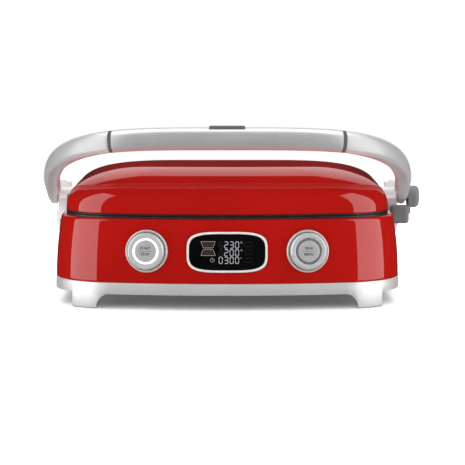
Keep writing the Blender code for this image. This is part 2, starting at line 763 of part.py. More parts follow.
def cooking_plate(name, seat, facing):
    """A ribbed cast plate hung by its rim on a seat; facing is 1 when its ribs point up."""
    pan = pan_inset()
    cavity = pan + PLATE_WALL
    back = seat - facing * PLATE_PAN_DEPTH
    rim = seat + facing * CLEARANCE
    face = rim + facing * PLATE_RIM_THICKNESS
    floor = back + facing * PLATE_FLOOR
    plate = loft(name, [
        ring(plan_outline(pan), back),
        ring(plan_outline(pan), rim),
        ring(plan_outline(PLATE_RIM_INSET), rim),
        ring(plan_outline(PLATE_RIM_INSET), face),
        ring(plan_outline(cavity), face),
        ring(plan_outline(cavity + PLATE_DRAFT), floor),
    ])
    front_y = pan + PLATE_WALL + PLATE_DRAFT + CHANNEL_WIDTH
    front_y += FRONT_BOW_RADIUS - math.sqrt(FRONT_BOW_RADIUS ** 2 - (BODY_WIDTH / 2 - front_y) ** 2)
    rear_y = BODY_DEPTH - pan - PLATE_WALL - PLATE_DRAFT - CHANNEL_WIDTH
    turn = Matrix.Translation((0.0, (front_y + rear_y) / 2, floor)) @ STANDING
    if facing < 0:
        turn = turn @ Matrix.Rotation(math.pi, 4, "Z")
    join(plate, slab(name + "_ribs", rib_outline(), rear_y - front_y, turn))
    return finish_piece(plate, CAST_PLATE)


def drain_y():
    """The middle of the lower plate's rear channel, where the fat drains."""
    return BODY_DEPTH - pan_inset() - PLATE_WALL - PLATE_DRAFT - CHANNEL_WIDTH / 2


def lower_cooking_plate():
    plate = cooking_plate("lower_cooking_plate", BASE_TOP, 1)
    back = BASE_TOP - PLATE_PAN_DEPTH
    outside_x = DRAIN_WIDTH / 2
    outside_y = DRAIN_LENGTH / 2
    y = drain_y()
    join(plate, box("drain_spout", (-outside_x, y - outside_y, back - DRAIN_DROP),
                    (outside_x, y + outside_y, back + PLATE_FLOOR / 2)))
    inside_x = outside_x - DRAIN_WALL
    inside_y = outside_y - DRAIN_WALL
    cut(plate, box("drain_hole", (-inside_x, y - inside_y, back - DRAIN_DROP - CUT_OVERRUN),
                   (inside_x, y + inside_y, back + PLATE_FLOOR + CUT_OVERRUN)))
    return plate


def element_path(z):
    """The heating element's route: out from the middle, round both halves of the plate and back."""
    corners = [
        (-ELEMENT_GAP_X, ELEMENT_FRONT_Y), (-ELEMENT_SPREAD_X, ELEMENT_FRONT_Y),
        (-ELEMENT_SPREAD_X, ELEMENT_REAR_Y), (-ELEMENT_MIDDLE_X, ELEMENT_REAR_Y),
        (-ELEMENT_MIDDLE_X, ELEMENT_BEND_Y), (ELEMENT_MIDDLE_X, ELEMENT_BEND_Y),
        (ELEMENT_MIDDLE_X, ELEMENT_REAR_Y), (ELEMENT_SPREAD_X, ELEMENT_REAR_Y),
        (ELEMENT_SPREAD_X, ELEMENT_FRONT_Y), (ELEMENT_GAP_X, ELEMENT_FRONT_Y),
    ]
    points = [Vector(corners[0])]
    for before, corner, after in zip(corners, corners[1:], corners[2:]):
        corner = Vector(corner)
        into = (corner - Vector(before)).normalized()
        out = (Vector(after) - corner).normalized()
        centre = corner + (out - into) * ELEMENT_BEND_RADIUS
        for k in range(ELEMENT_BEND_STEPS + 1):
            angle = math.pi / 2 * k / ELEMENT_BEND_STEPS
            turning = into * math.sin(angle) - out * math.cos(angle)
            points.append(centre + ELEMENT_BEND_RADIUS * turning)
    points.append(Vector(corners[-1]))
    return [(point.x, point.y, z) for point in points]


def heating_element(name, back, facing):
    z = back - facing * (RUNNING_GAP + ELEMENT_RADIUS)
    return finish_piece(tube(name, element_path(z), ELEMENT_RADIUS), STEEL)


def reflector(name, floor, rim):
    """A bright tray round the element, its floor on the side away from the plate."""
    outside = floor - REFLECTOR_WALL if rim > floor else floor + REFLECTOR_WALL
    tray = loft(name, [
        ring(plan_outline(REFLECTOR_INSET), outside),
        ring(plan_outline(REFLECTOR_INSET), rim),
        ring(plan_outline(REFLECTOR_INSET + REFLECTOR_WALL), rim),
        ring(plan_outline(REFLECTOR_INSET + REFLECTOR_WALL), floor),
    ])
    return finish_piece(tray, STEEL)


def lower_reflector():
    tray = reflector("lower_reflector", reflector_floor(), BASE_TOP - HOUSING_WALL - CLEARANCE)
    y = drain_y()
    gap_x = DRAIN_WIDTH / 2 + RUNNING_GAP
    gap_y = DRAIN_LENGTH / 2 + RUNNING_GAP
    floor = reflector_floor()
    cut(tray, box("spout_hole", (-gap_x, y - gap_y, floor - REFLECTOR_WALL - CUT_OVERRUN),
                  (gap_x, y + gap_y, floor + CUT_OVERRUN)))
    return tray


# Control panel

def dial_parts(side, x):
    """Bezel, light ring and encoder, then the turning dial and its push cap."""
    frame = front_frame(x, DIAL_Z)
    bezel = turned("dial_bezel_" + side, [
        (BEZEL_RADIUS - DIAL_EDGE, BEZEL_PROUD), (BEZEL_RADIUS, BEZEL_PROUD - DIAL_EDGE),
        (BEZEL_RADIUS, CLEARANCE), (BEZEL_SPIGOT_RADIUS, CLEARANCE),
        (BEZEL_SPIGOT_RADIUS, -BEZEL_DEPTH), (BEZEL_BORE, -BEZEL_DEPTH), (BEZEL_BORE, BEZEL_PROUD),
    ], frame, closed=True)
    seat = -BEZEL_DEPTH - CLEARANCE
    encoder = turned("encoder_" + side, [
        (0.0, seat), (ENCODER_RADIUS, seat), (ENCODER_RADIUS, seat - ENCODER_THICKNESS),
        (0.0, seat - ENCODER_THICKNESS),
    ], frame, steps=HIDDEN_STEPS)
    foot = seat + CLEARANCE
    ring_piece = turned("light_ring_" + side, [
        (RING_OUTER_RADIUS, RING_PROUD), (RING_OUTER_RADIUS, foot), (RING_BORE, foot),
        (RING_BORE, RING_PROUD),
    ], frame, closed=True)
    dial = turned("dial_" + side, [
        (DIAL_RADIUS - DIAL_EDGE, DIAL_PROUD), (DIAL_RADIUS, DIAL_PROUD - DIAL_EDGE),
        (DIAL_RADIUS, foot), (DIAL_BORE, foot), (DIAL_BORE, DIAL_PROUD - DIAL_DISH),
    ], frame, closed=True)
    push = turned("button_" + side, [
        (0.0, CAP_PROUD), (CAP_RADIUS - DIAL_EDGE, CAP_PROUD), (CAP_RADIUS, CAP_PROUD - DIAL_EDGE),
        (CAP_RADIUS, CAP_PROUD - CAP_THICKNESS), (CAP_STEM_RADIUS, CAP_PROUD - CAP_THICKNESS),
        (CAP_STEM_RADIUS, foot + BUTTON_TRAVEL), (0.0, foot + BUTTON_TRAVEL),
    ], frame)
    finish_piece(bezel, SATIN_SILVER)
    finish_piece(encoder, DARK_PLASTIC)
    finish_piece(ring_piece, LIGHT_RING)
    finish_piece(dial, SATIN_SILVER)
    finish_piece(push, CAP_GREY)
    return [bezel, encoder, ring_piece], dial, push


def display_ring(inset, depth):
    """The display's squarish round outline, drawn in by an inset and bowed with the front."""
    frame = front_frame(0.0, DISPLAY_Z)
    power = 2 / DISPLAY_SQUARENESS
    points = []
    for k in range(DISPLAY_POINTS):
        angle = math.pi * (2 * k + 1) / DISPLAY_POINTS
        across, up = math.cos(angle), math.sin(angle)
        x = math.copysign(abs(across) ** power, across) * (DISPLAY_WIDTH / 2 - inset)
        y = math.copysign(abs(up) ** power, up) * (DISPLAY_HEIGHT / 2 - inset)
        bow = x ** 2 / (2 * FRONT_BOW_RADIUS)
        points.append(frame @ Vector((x, y, depth - bow)))
    return points


def display_block(name, inset, low, high):
    return loft(name, [display_ring(inset, low), display_ring(inset, high)])


def display_parts():
    inner = DISPLAY_FRAME
    spigot = DISPLAY_FRAME - DISPLAY_SPIGOT_WALL
    edge = DISPLAY_FRAME / 4
    bezel = loft("display_bezel", [
        display_ring(inner, -DISPLAY_DEPTH), display_ring(spigot, -DISPLAY_DEPTH),
        display_ring(spigot, CLEARANCE), display_ring(0.0, CLEARANCE),
        display_ring(0.0, DISPLAY_PROUD - edge), display_ring(edge, DISPLAY_PROUD),
        display_ring(inner, DISPLAY_PROUD),
    ], ring_shaped=True)
    front = DISPLAY_PROUD - DISPLAY_RECESS
    window = display_block("display_window", inner + CLEARANCE, front - WINDOW_THICKNESS, front)
    frame = front_frame(0.0, DISPLAY_Z)
    bow = (DISPLAY_WIDTH / 2) ** 2 / (2 * FRONT_BOW_RADIUS)
    near = front - WINDOW_THICKNESS - CLEARANCE - bow
    tilt = frame.to_3x3().col[2]
    reach = (BOARD_Y - CLEARANCE - frame.translation.y - MODULE_HEIGHT / 2 * abs(tilt.z)) / abs(tilt.y)
    half_width, half_height = MODULE_WIDTH / 2, MODULE_HEIGHT / 2
    module = box("display_module", (-half_width, -half_height, -reach), (half_width, half_height, near))
    module.data.transform(frame)
    half_board = BOARD_WIDTH / 2
    board = box("control_board", (-half_board, BOARD_Y, BOARD_BOTTOM),
                (half_board, BOARD_Y + BOARD_THICKNESS, BOARD_TOP))
    finish_piece(bezel, SATIN_SILVER)
    finish_piece(window, DARK_GLASS)
    finish_piece(module, DARK_PLASTIC)
    finish_piece(board, BOARD_GREEN)
    return [bezel, window, module, board]


# Hinge brackets, bushes and shaft

def tower_outline(sign):
    """A bracket's tower seen from behind: flared foot, straight neck and rounded top."""
    points = [(TOWER_INNER_X, BRACKET_BOTTOM), (TOWER_OUTER_X - TOWER_CORNER, BRACKET_BOTTOM)]
    points.append((TOWER_OUTER_X - CLEARANCE, TOWER_WAIST_Z))
    points.append((TOWER_FLARE_X, TOWER_FLARE_LOW))
    points.append((TOWER_FLARE_X, TOWER_FLARE_TOP - TOWER_EDGE))
    points.append((TOWER_OUTER_X, TOWER_FLARE_TOP))
    top = [(TOWER_OUTER_X, TOWER_TOP, TOWER_EDGE, 1), (TOWER_INNER_X, TOWER_TOP, TOWER_CORNER, -1)]
    for x, z, radius, side in top:
        for k in range(TOWER_CORNER_STEPS + 1):
            share = k / TOWER_CORNER_STEPS
            angle = math.pi / 2 * (share if side > 0 else 1 - share)
            points.append((
                x - side * radius * (1 - math.cos(angle)), z - radius * (1 - math.sin(angle)),
            ))
    return [(sign * x, z) for x, z in points]


def hinge_bracket(side, sign):
    turn = Matrix.Translation((0.0, HINGE_Y, 0.0)) @ STANDING
    bracket = slab("hinge_bracket_" + side, tower_outline(sign), TOWER_DEPTH, turn)
    behind = BODY_DEPTH + CLEARANCE
    low = min(sign * BRACKET_INNER_X, sign * (TOWER_INNER_X + TOWER_EDGE))
    high = max(sign * BRACKET_INNER_X, sign * (TOWER_INNER_X + TOWER_EDGE))
    plate = box("bracket_foot_" + side, (low, behind, BRACKET_BOTTOM + TOWER_EDGE),
                (high, behind + BRACKET_THICKNESS, BRACKET_TOP))
    join(bracket, plate)
    half = BUSH_SIZE / 2 + CLEARANCE
    ends = sorted((sign * (TOWER_INNER_X - CUT_OVERRUN), sign * (TOWER_FLARE_X + CUT_OVERRUN)))
    cut(bracket, box("hinge_slot_" + side, (ends[0], HINGE_Y - half, HINGE_HEIGHT - half),
                     (ends[1], HINGE_Y + half, HINGE_HEIGHT + half + FLOAT_TRAVEL)))
    for row, x in (("inner", SCREW_INNER_X), ("outer", SCREW_OUTER_X)):
        cut(bracket, rod(f"bracket_screw_hole_{side}_{row}", SCREW_RADIUS + CLEARANCE,
                         (sign * x, behind - CUT_OVERRUN, SCREW_Z),
                         (sign * x, behind + BRACKET_THICKNESS + CUT_OVERRUN, SCREW_Z), SCREW_HOLE_STEPS))
    return finish_piece(bracket, SATIN_SILVER)


def bracket_screw(name, x):
    """A domed screw through the bracket's foot into the housing's rear wall."""
    seat = BODY_DEPTH + CLEARANCE * 2 + BRACKET_THICKNESS
    place = Matrix.Translation((x, seat, SCREW_Z)) @ FACING_REAR
    dome = [(SCREW_HEAD_RADIUS * out, SCREW_HEAD_HEIGHT * up) for out, up in SCREW_DOME_SHARES]
    screw = turned(name, [
        (0.0, SCREW_HEAD_HEIGHT), *dome, (SCREW_HEAD_RADIUS, 0.0), (SCREW_RADIUS, 0.0),
        (SCREW_RADIUS, -SCREW_LENGTH), (0.0, -SCREW_LENGTH),
    ], place, steps=SCREW_STEPS)
    return finish_piece(screw, STEEL)


def hinge_bush(side, sign):
    """A square bush that rides up and down in its tower's slot."""
    half = BUSH_SIZE / 2
    ends = sorted((sign * TOWER_INNER_X, sign * TOWER_OUTER_X))
    bush = box("hinge_bush_" + side, (ends[0], HINGE_Y - half, HINGE_HEIGHT - half),
               (ends[1], HINGE_Y + half, HINGE_HEIGHT + half))
    cut(bush, rod("bush_bore_" + side, SHAFT_RADIUS + CLEARANCE,
                  (ends[0] - CUT_OVERRUN, HINGE_Y, HINGE_HEIGHT),
                  (ends[1] + CUT_OVERRUN, HINGE_Y, HINGE_HEIGHT)))
    return finish_piece(bush, DARK_PLASTIC)


def hub_start():
    return ARM_OUTER_X + LEVER_SIDE_GAP


def shaft_left_x():
    """How far to the left the shaft reaches: into the left arm, but not through it."""
    return ARM_OUTER_X - ARM_ROOT_HALF_WIDTH


def hinge_shaft():
    left = -shaft_left_x()
    right = hub_start() + LEVER_HUB_WIDTH - LEVER_HUB_WALL - CLEARANCE
    shaft = rod("hinge_shaft", SHAFT_RADIUS, (left, HINGE_Y, HINGE_HEIGHT), (right, HINGE_Y, HINGE_HEIGHT))
    return finish_piece(shaft, STEEL)


def release_lever():
    """Domed hub on the hinge shaft, outside the right arm, with a thumb paddle hooked in ahead of it."""
    start = hub_start()
    end = start + LEVER_HUB_WIDTH
    place = Matrix.Translation((start, HINGE_Y, HINGE_HEIGHT)) @ ABOUT_X
    profile = [(0.0, LEVER_HUB_WIDTH)]
    for k in range(LEVER_HUB_EDGE_STEPS + 1):
        turn = math.pi / 2 * k / LEVER_HUB_EDGE_STEPS
        profile.append((LEVER_HUB_RADIUS - LEVER_HUB_EDGE * (1 - math.sin(turn)),
                        LEVER_HUB_WIDTH - LEVER_HUB_EDGE * (1 - math.cos(turn))))
    profile += [(LEVER_HUB_RADIUS, 0.0), (0.0, 0.0)]
    lever = turned("hinge_release_lever", profile, place, steps=LEVER_STEPS)
    front = HINGE_Y - LEVER_FRONT
    web = box("lever_web", (start, front + LEVER_ROUND, LEVER_TOP - LEVER_WEB_LAP),
              (start + LEVER_WEB, HINGE_Y + LEVER_REAR, HINGE_HEIGHT))
    rear = HINGE_Y - TOWER_DEPTH / 2 - LEVER_SIDE_GAP
    paddle = box("lever_paddle", (LEVER_INNER_X, front, LEVER_BOTTOM),
                 (start + LEVER_WEB * LEVER_OUTER_SHARE, rear, LEVER_TOP))
    round_edges(paddle, LEVER_ROUND)
    join(lever, web)
    join(lever, paddle)
    cut(lever, rod("lever_bore", SHAFT_RADIUS + CLEARANCE, (start - CUT_OVERRUN, HINGE_Y, HINGE_HEIGHT),
                   (end - LEVER_HUB_WALL, HINGE_Y, HINGE_HEIGHT)))
    return finish_piece(lever, GREY_PLASTIC)


# Handle and arms

def arch_vectors():
    """From the hinge axis to the bar: the arch's length, its direction and its lean."""
    ahead = Vector((0.0, BAR_Y - HINGE_Y, BAR_Z - HINGE_HEIGHT))
    return ahead.length, ahead.normalized(), math.atan2(BAR_Z - HINGE_HEIGHT, HINGE_Y - BAR_Y)


def section_share(angle):
    """How far the section has grown from the arm's towards the bar's."""
    return math.sin(angle) ** SECTION_GROWTH_POWER


def section_half_width(angle):
    """Half the handle's width: slim beside the hinge tower, full along the arm, widest at the bar."""
    first, last = ARM_SWELL_SHARES
    share = min(max((reach_share(angle) - first) / (last - first), 0.0), 1.0)
    swell = share * share * (3 - 2 * share)
    arm = ARM_ROOT_HALF_WIDTH + (ARM_HALF_WIDTH - ARM_ROOT_HALF_WIDTH) * swell
    return arm + (BAR_HALF_DEPTH - ARM_HALF_WIDTH) * section_share(angle)


def reach_share(angle):
    """How far ahead a place on the handle lies, as a share of the way from the hinge to the bar."""
    return max(math.sin(angle), 0.0) ** (2 / ARCH_FRONT_POWER)


def angle_at_reach(share):
    return math.asin(share ** (ARCH_FRONT_POWER / 2))


def arch_point(angle):
    """A point on the handle's middle line, from the right hinge, at zero, to the left, at pi."""
    length, ahead, _ = arch_vectors()
    across = math.cos(angle)
    span = ARM_OUTER_X - section_half_width(angle)
    x = span * math.copysign(abs(across) ** (2 / ARCH_SIDE_POWER), across)
    return Vector((x, HINGE_Y, HINGE_HEIGHT)) + ahead * length * reach_share(angle)


def angle_at(x):
    """Where along the handle its middle line has a given X, ahead of the arms' swelling."""
    span = ARM_OUTER_X - ARM_HALF_WIDTH
    return math.acos(min(x / span, 1.0) ** (ARCH_SIDE_POWER / 2))


def arm_inner_x(ahead):
    """The inner face of the right arm at a distance ahead of the hinge axis, level with it."""
    angle = angle_at_reach(ahead / (HINGE_Y - BAR_Y))
    return arch_point(angle).x - section_half_width(angle)


def handle_section(angle, inset=0.0):
    """The handle's section at a place along it: deep at the bar, slim at the hinge."""
    _, _, lean = arch_vectors()
    step = math.pi / 720
    low, high = max(angle - step, 0.0), min(angle + step, math.pi)
    along = (arch_point(high) - arch_point(low)).normalized()
    share = section_share(angle)
    upright = Vector((0.0, math.sin(lean * (1 - share)), math.cos(lean * (1 - share))))
    side = along.cross(upright).normalized()
    upright = side.cross(along).normalized()
    half_width = section_half_width(angle) - inset
    half_height = ARM_HALF_HEIGHT + (BAR_HALF_HEIGHT - ARM_HALF_HEIGHT) * share - inset
    centre = arch_point(angle)
    return [
        centre + side * across * half_width + upright * up * half_height
        for across, up in HANDLE_SECTION_SHARES
    ]


def arm_root_sections():
    """The right arm beside the hinge: straight ahead of the axis, and rounded off behind it."""
    length, ahead, _ = arch_vectors()
    upright = ahead.cross(Vector((1.0, 0.0, 0.0)))
    if upright.z < 0:
        upright = -upright
    places = []
    for k in range(ARM_END_STEPS, 0, -1):
        turn = ARM_END_TURN * k / ARM_END_STEPS
        places.append((-ARM_HALF_HEIGHT * math.sin(turn), math.cos(turn)))
    places += [(length * share, 1.0) for share in ARM_ROOT_SHARES]
    inner = ARM_OUTER_X - ARM_ROOT_HALF_WIDTH * 2
    rings = []
    for reach, flat in places:
        angle = angle_at_reach(max(reach, 0.0) / length)
        half_width = section_half_width(angle)
        middle = arch_point(angle).x
        behind = (ARM_TAPER_LENGTH - reach) / (ARM_TAPER_LENGTH + ARM_HALF_HEIGHT)
        behind = min(max(behind, 0.0), 1.0)
        width_share = ARM_END_SHARE + (1 - ARM_END_SHARE) * math.sqrt(1 - behind ** 2)
        points = []
        for across, up in HANDLE_SECTION_SHARES:
            x = middle - across * half_width
            if behind > 0.0:
                x = inner + (x - inner) * width_share
            place = Vector((0.0, HINGE_Y, HINGE_HEIGHT)) + ahead * reach
            points.append(place + Vector((x, 0.0, 0.0)) + upright * up * ARM_HALF_HEIGHT * flat)
        rings.append(points)
    return rings


def handle_arm(side, sign):
    first = angle_at_reach(ARM_ROOT_SHARES[-1])
    last = angle_at(BAND_X + BAND_WIDTH / 2 + CLEARANCE)
    rings = arm_root_sections()
    for k in range(1, ARM_STEPS + 1):
        rings.append(handle_section(first + (last - first) * k / ARM_STEPS))
    rings = [[(sign * p.x, p.y, p.z) for p in points] for points in rings]
    arm = loft("handle_arm_" + side, rings)
    inner = ARM_OUTER_X - ARM_ROOT_HALF_WIDTH * 2 - CUT_OVERRUN
    outer = ARM_OUTER_X + CUT_OVERRUN if sign > 0 else shaft_left_x() + CLEARANCE
    cut(arm, rod("arm_bore_" + side, SHAFT_RADIUS + CLEARANCE, (sign * inner, HINGE_Y, HINGE_HEIGHT),
                 (sign * outer, HINGE_Y, HINGE_HEIGHT)))
    return finish_piece(arm, SATIN_SILVER)


def handle_band(side, sign):
    first = angle_at(BAND_X + BAND_WIDTH / 2)
    last = angle_at(BAND_X - BAND_WIDTH / 2)
    rings = [handle_section(angle, BAND_INSET) for angle in (first, (first + last) / 2, last)]
    rings = [[(sign * p.x, p.y, p.z) for p in points] for points in rings]
    return finish_piece(loft("handle_band_" + side, rings), GREY_PLASTIC)


def bar_top():
    return BAR_Z + BAR_HALF_HEIGHT


def handle_grip():
    first = angle_at(BAND_X - BAND_WIDTH / 2 - CLEARANCE)
    last = math.pi - first
    angles = [first + (last - first) * k / GRIP_STEPS for k in range(GRIP_STEPS + 1)]
    grip = loft("handle_grip", [handle_section(angle) for angle in angles])
    half_width = REST_PAD_WIDTH / 2 + CLEARANCE
    half_depth = REST_PAD_DEPTH / 2 + CLEARANCE
    seat = bar_top() - REST_PAD_SUNK - CLEARANCE
    cut(grip, box("pad_recess", (-half_width, BAR_Y - half_depth, seat),
                  (half_width, BAR_Y + half_depth, bar_top() + CUT_OVERRUN)))
    return finish_piece(grip, SATIN_SILVER)


def handle_rest_pad():
    half_width = REST_PAD_WIDTH / 2
    half_depth = REST_PAD_DEPTH / 2
    pad = box("handle_rest_pad", (-half_width, BAR_Y - half_depth, bar_top() - REST_PAD_SUNK),
              (half_width, BAR_Y + half_depth, bar_top() + REST_PAD_PROUD))
    round_edges(pad, REST_PAD_ROUND)
    return finish_piece(pad, DARK_PLASTIC)


# Lid

def lid_shell():
    rings = []
    edge_corner = FRONT_CORNER_RADIUS - LID_EDGE_INSET
    for share in LID_HEIGHT_SHARES:
        z = LID_BOTTOM + share * (LID_TOP - LID_BOTTOM)
        turned_in = lid_turn_share(share)
        corner = edge_corner + (LID_CROWN_CORNER_RADIUS - edge_corner) * turned_in
        rear_corner = LID_CROWN_REAR_CORNER_RADIUS - REAR_CORNER_RADIUS
        rear_corner = REAR_CORNER_RADIUS + rear_corner * turned_in
        outline = plan_outline(lid_inset(z), LID_REAR_INSET * turned_in, corner, rear_corner)
        rings.append(ring(outline, z))
    shell = loft("lid_shell", rings, open_low=True)
    wall = shell.modifiers.new("wall", "SOLIDIFY")
    wall.thickness = HOUSING_WALL
    wall.offset = -1.0
    for side, sign in (("left", -1), ("right", 1)):
        inside = lug_inner_x() - CUT_OVERRUN
        cut(shell, rod("lug_notch_" + side, LUG_RADIUS + CLEARANCE, (sign * inside, lug_y(), LUG_Z),
                       (sign * BODY_WIDTH / 2, lug_y(), LUG_Z)))
    cut(shell, release_opening("upper_release_opening", RELEASE_UPPER_Z, lid_inset(RELEASE_UPPER_Z)))
    return finish_piece(shell, RED_ENAMEL)


def lug_y():
    return HINGE_Y - LUG_AHEAD


def lug_inner_x():
    return BODY_WIDTH / 2 - lid_inset(LID_BOTTOM) - HOUSING_WALL + CLEARANCE


def lid_lug(side, sign):
    """A round boss that carries the lid's side on the arm."""
    outer = arm_inner_x(LUG_AHEAD + LUG_RADIUS) - CLEARANCE
    lug = rod("lid_lug_" + side, LUG_RADIUS, (sign * lug_inner_x(), lug_y(), LUG_Z),
              (sign * outer, lug_y(), LUG_Z))
    return finish_piece(lug, SATIN_SILVER)


def lid_inner_frame():
    low = LID_BOTTOM
    top = low + HOUSING_WALL
    outer = lid_inset(top) + HOUSING_WALL + RUNNING_GAP
    lip = low + OPENING_LIP_DROP
    frame = loft("lid_inner_frame", [
        ring(plan_outline(outer), low), ring(plan_outline(outer), top),
        ring(plan_outline(PLATE_OPENING_INSET - HOUSING_WALL), top),
        ring(plan_outline(PLATE_OPENING_INSET - HOUSING_WALL), lip),
        ring(plan_outline(PLATE_OPENING_INSET), lip), ring(plan_outline(PLATE_OPENING_INSET), low),
    ], ring_shaped=True)
    return finish_piece(frame, DARK_PLASTIC)


def upper_reflector():
    floor = LID_BOTTOM + PLATE_PAN_DEPTH + RUNNING_GAP + ELEMENT_RADIUS * 2 + CLEARANCE
    return reflector("upper_reflector", floor, LID_BOTTOM + HOUSING_WALL + CLEARANCE)


# Plate release buttons

def release_opening(name, z, inset):
    wall = -(BODY_WIDTH / 2 - inset)
    half_width = RELEASE_WIDTH / 2 + CLEARANCE
    half_height = RELEASE_HEIGHT / 2 + CLEARANCE
    return box(name, (wall - CUT_OVERRUN, RELEASE_Y - half_width, z - half_height),
               (wall + HOUSING_WALL + CUT_OVERRUN, RELEASE_Y + half_width, z + half_height))


def plate_release(name, z, inset):
    """A push button through the left wall, with a flange that stops it from falling out."""
    wall = -(BODY_WIDTH / 2 - inset)
    half_width = RELEASE_WIDTH / 2
    half_height = RELEASE_HEIGHT / 2
    push = box(name, (wall - RELEASE_PROUD, RELEASE_Y - half_width, z - half_height),
               (wall + RELEASE_REACH, RELEASE_Y + half_width, z + half_height))
    flange = RELEASE_FLANGE
    end = wall + RELEASE_REACH
    join(push, box(name + "_flange",
                   (end - flange, RELEASE_Y - half_width - flange, z - half_height - flange),
                   (end, RELEASE_Y + half_width + flange, z + half_height + flange)))
    return finish_piece(push, GREY_PLASTIC)


# Mains inlet

def cord_gland():
    place = Matrix.Translation((0.0, BODY_DEPTH, GLAND_Z)) @ FACING_REAR
    inner = -HOUSING_WALL - GLAND_DEPTH
    gland = turned("cord_gland", [
        (GLAND_RADIUS - CLEARANCE, GLAND_PROUD), (GLAND_RADIUS, GLAND_FLANGE + CLEARANCE),
        (GLAND_FLANGE_RADIUS, GLAND_FLANGE), (GLAND_FLANGE_RADIUS, CLEARANCE),
        (GLAND_RADIUS, CLEARANCE), (GLAND_RADIUS, inner), (GLAND_BORE, inner), (GLAND_BORE, GLAND_PROUD),
    ], place, steps=GLAND_STEPS, closed=True)
    return finish_piece(gland, DARK_PLASTIC)


# Assembly

def pivot(name, place, parent):
    """An empty on a joint's axis."""
    marker = bpy.data.objects.new(name, None)
    PARTS.objects.link(marker)
    attach(marker, parent)
    marker.matrix_parent_inverse = Matrix.Identity(4)
    marker.location = Vector(place) - Vector(parent["at"])
    marker["at"] = tuple(place)
    return marker


def attach(item, parent):
    """Hangs a piece on a pivot without moving it in the model's axes."""
    item.parent = parent
    item.matrix_parent_inverse = Matrix.Translation(-Vector(parent["at"]))


def root_empty():
    """The model's reference point: under the middle of everything that it covers."""
    left = -ARM_OUTER_X
    right = hub_start() + LEVER_HUB_WIDTH
    frame = front_frame(DIAL_X, DIAL_Z)
    out = frame.to_3x3().col[2]
    dial_face = frame.translation + out * DIAL_PROUD
    front = dial_face.y - (DIAL_RADIUS - DIAL_EDGE) * math.sqrt(1 - out.y ** 2)
    rear = HINGE_Y + LEVER_HUB_RADIUS
    marker = bpy.data.objects.new("grill", None)
    PARTS.objects.link(marker)
    marker.location = (-(left + right) / 2, -(front + rear) / 2, 0.0)
    marker["at"] = (0.0, 0.0, 0.0)
    return marker


def build_base(root):
    pieces = [
        base_shell(), base_frame(), *foot_pads(), bottom_cover(), lower_cooking_plate(),
        heating_element("lower_heating_element", BASE_TOP - PLATE_PAN_DEPTH, 1),
        lower_reflector(), *display_parts(), cord_gland(),
    ]
    for side, sign in (("left", -1), ("right", 1)):
        pieces.append(hinge_bracket(side, sign))
        pieces.append(bracket_screw(f"bracket_screw_{side}_inner", sign * SCREW_INNER_X))
        pieces.append(bracket_screw(f"bracket_screw_{side}_outer", sign * SCREW_OUTER_X))
    for piece in pieces:
        attach(piece, root)


def build_controls(root):
    for side, x in (("left", -DIAL_X), ("right", DIAL_X)):
        fixed, dial, push = dial_parts(side, x)
        for piece in (*fixed, dial, push):
            attach(piece, root)
    tray = drip_tray()
    attach(tray, pivot("tray_slide", (0.0, BODY_DEPTH, TRAY_BOTTOM), root))
    lower = plate_release("plate_release_lower", RELEASE_LOWER_Z, base_inset(RELEASE_LOWER_Z)[0])
    wall = -(BODY_WIDTH / 2)
    attach(lower, pivot("lower_release_slide", (wall, RELEASE_Y, RELEASE_LOWER_Z), root))


def build_lid(root):
    carriage = pivot("hinge_float", (0.0, HINGE_Y, HINGE_HEIGHT), root)
    hinge = pivot("lid_hinge", (0.0, HINGE_Y, HINGE_HEIGHT), carriage)
    turn = pivot("lever_hinge", (hub_start(), HINGE_Y, HINGE_HEIGHT), carriage)
    attach(release_lever(), turn)
    attach(hinge_bush("left", -1), carriage)
    attach(hinge_bush("right", 1), carriage)
    pieces = [
        lid_shell(), lid_inner_frame(), upper_reflector(), hinge_shaft(),
        heating_element("upper_heating_element", LID_BOTTOM + PLATE_PAN_DEPTH, -1),
        cooking_plate("upper_cooking_plate", LID_BOTTOM, -1), handle_grip(), handle_rest_pad(),
    ]
    for side, sign in (("left", -1), ("right", 1)):
        pieces += [handle_arm(side, sign), handle_band(side, sign), lid_lug(side, sign)]
    for piece in pieces:
        attach(piece, hinge)
    upper = plate_release("plate_release_upper", RELEASE_UPPER_Z, lid_inset(RELEASE_UPPER_Z))
    attach(upper, pivot("upper_release_slide", (-(BODY_WIDTH / 2), RELEASE_Y, RELEASE_UPPER_Z), hinge))


clear_scene()
PARTS = collection("contact_grill")
CUTTERS = collection("cutters")
ROOT = root_empty()
build_base(ROOT)
build_controls(ROOT)
build_lid(ROOT)
for helper in CUTTERS.objects:
    attach(helper, ROOT)
bpy.context.view_layer.update()
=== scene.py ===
import json
import math
from functools import partial

import bmesh
import bpy
import numpy as np
from bpy.props import FloatProperty, FloatVectorProperty, IntProperty, PointerProperty, StringProperty
from mathutils import Matrix, Vector

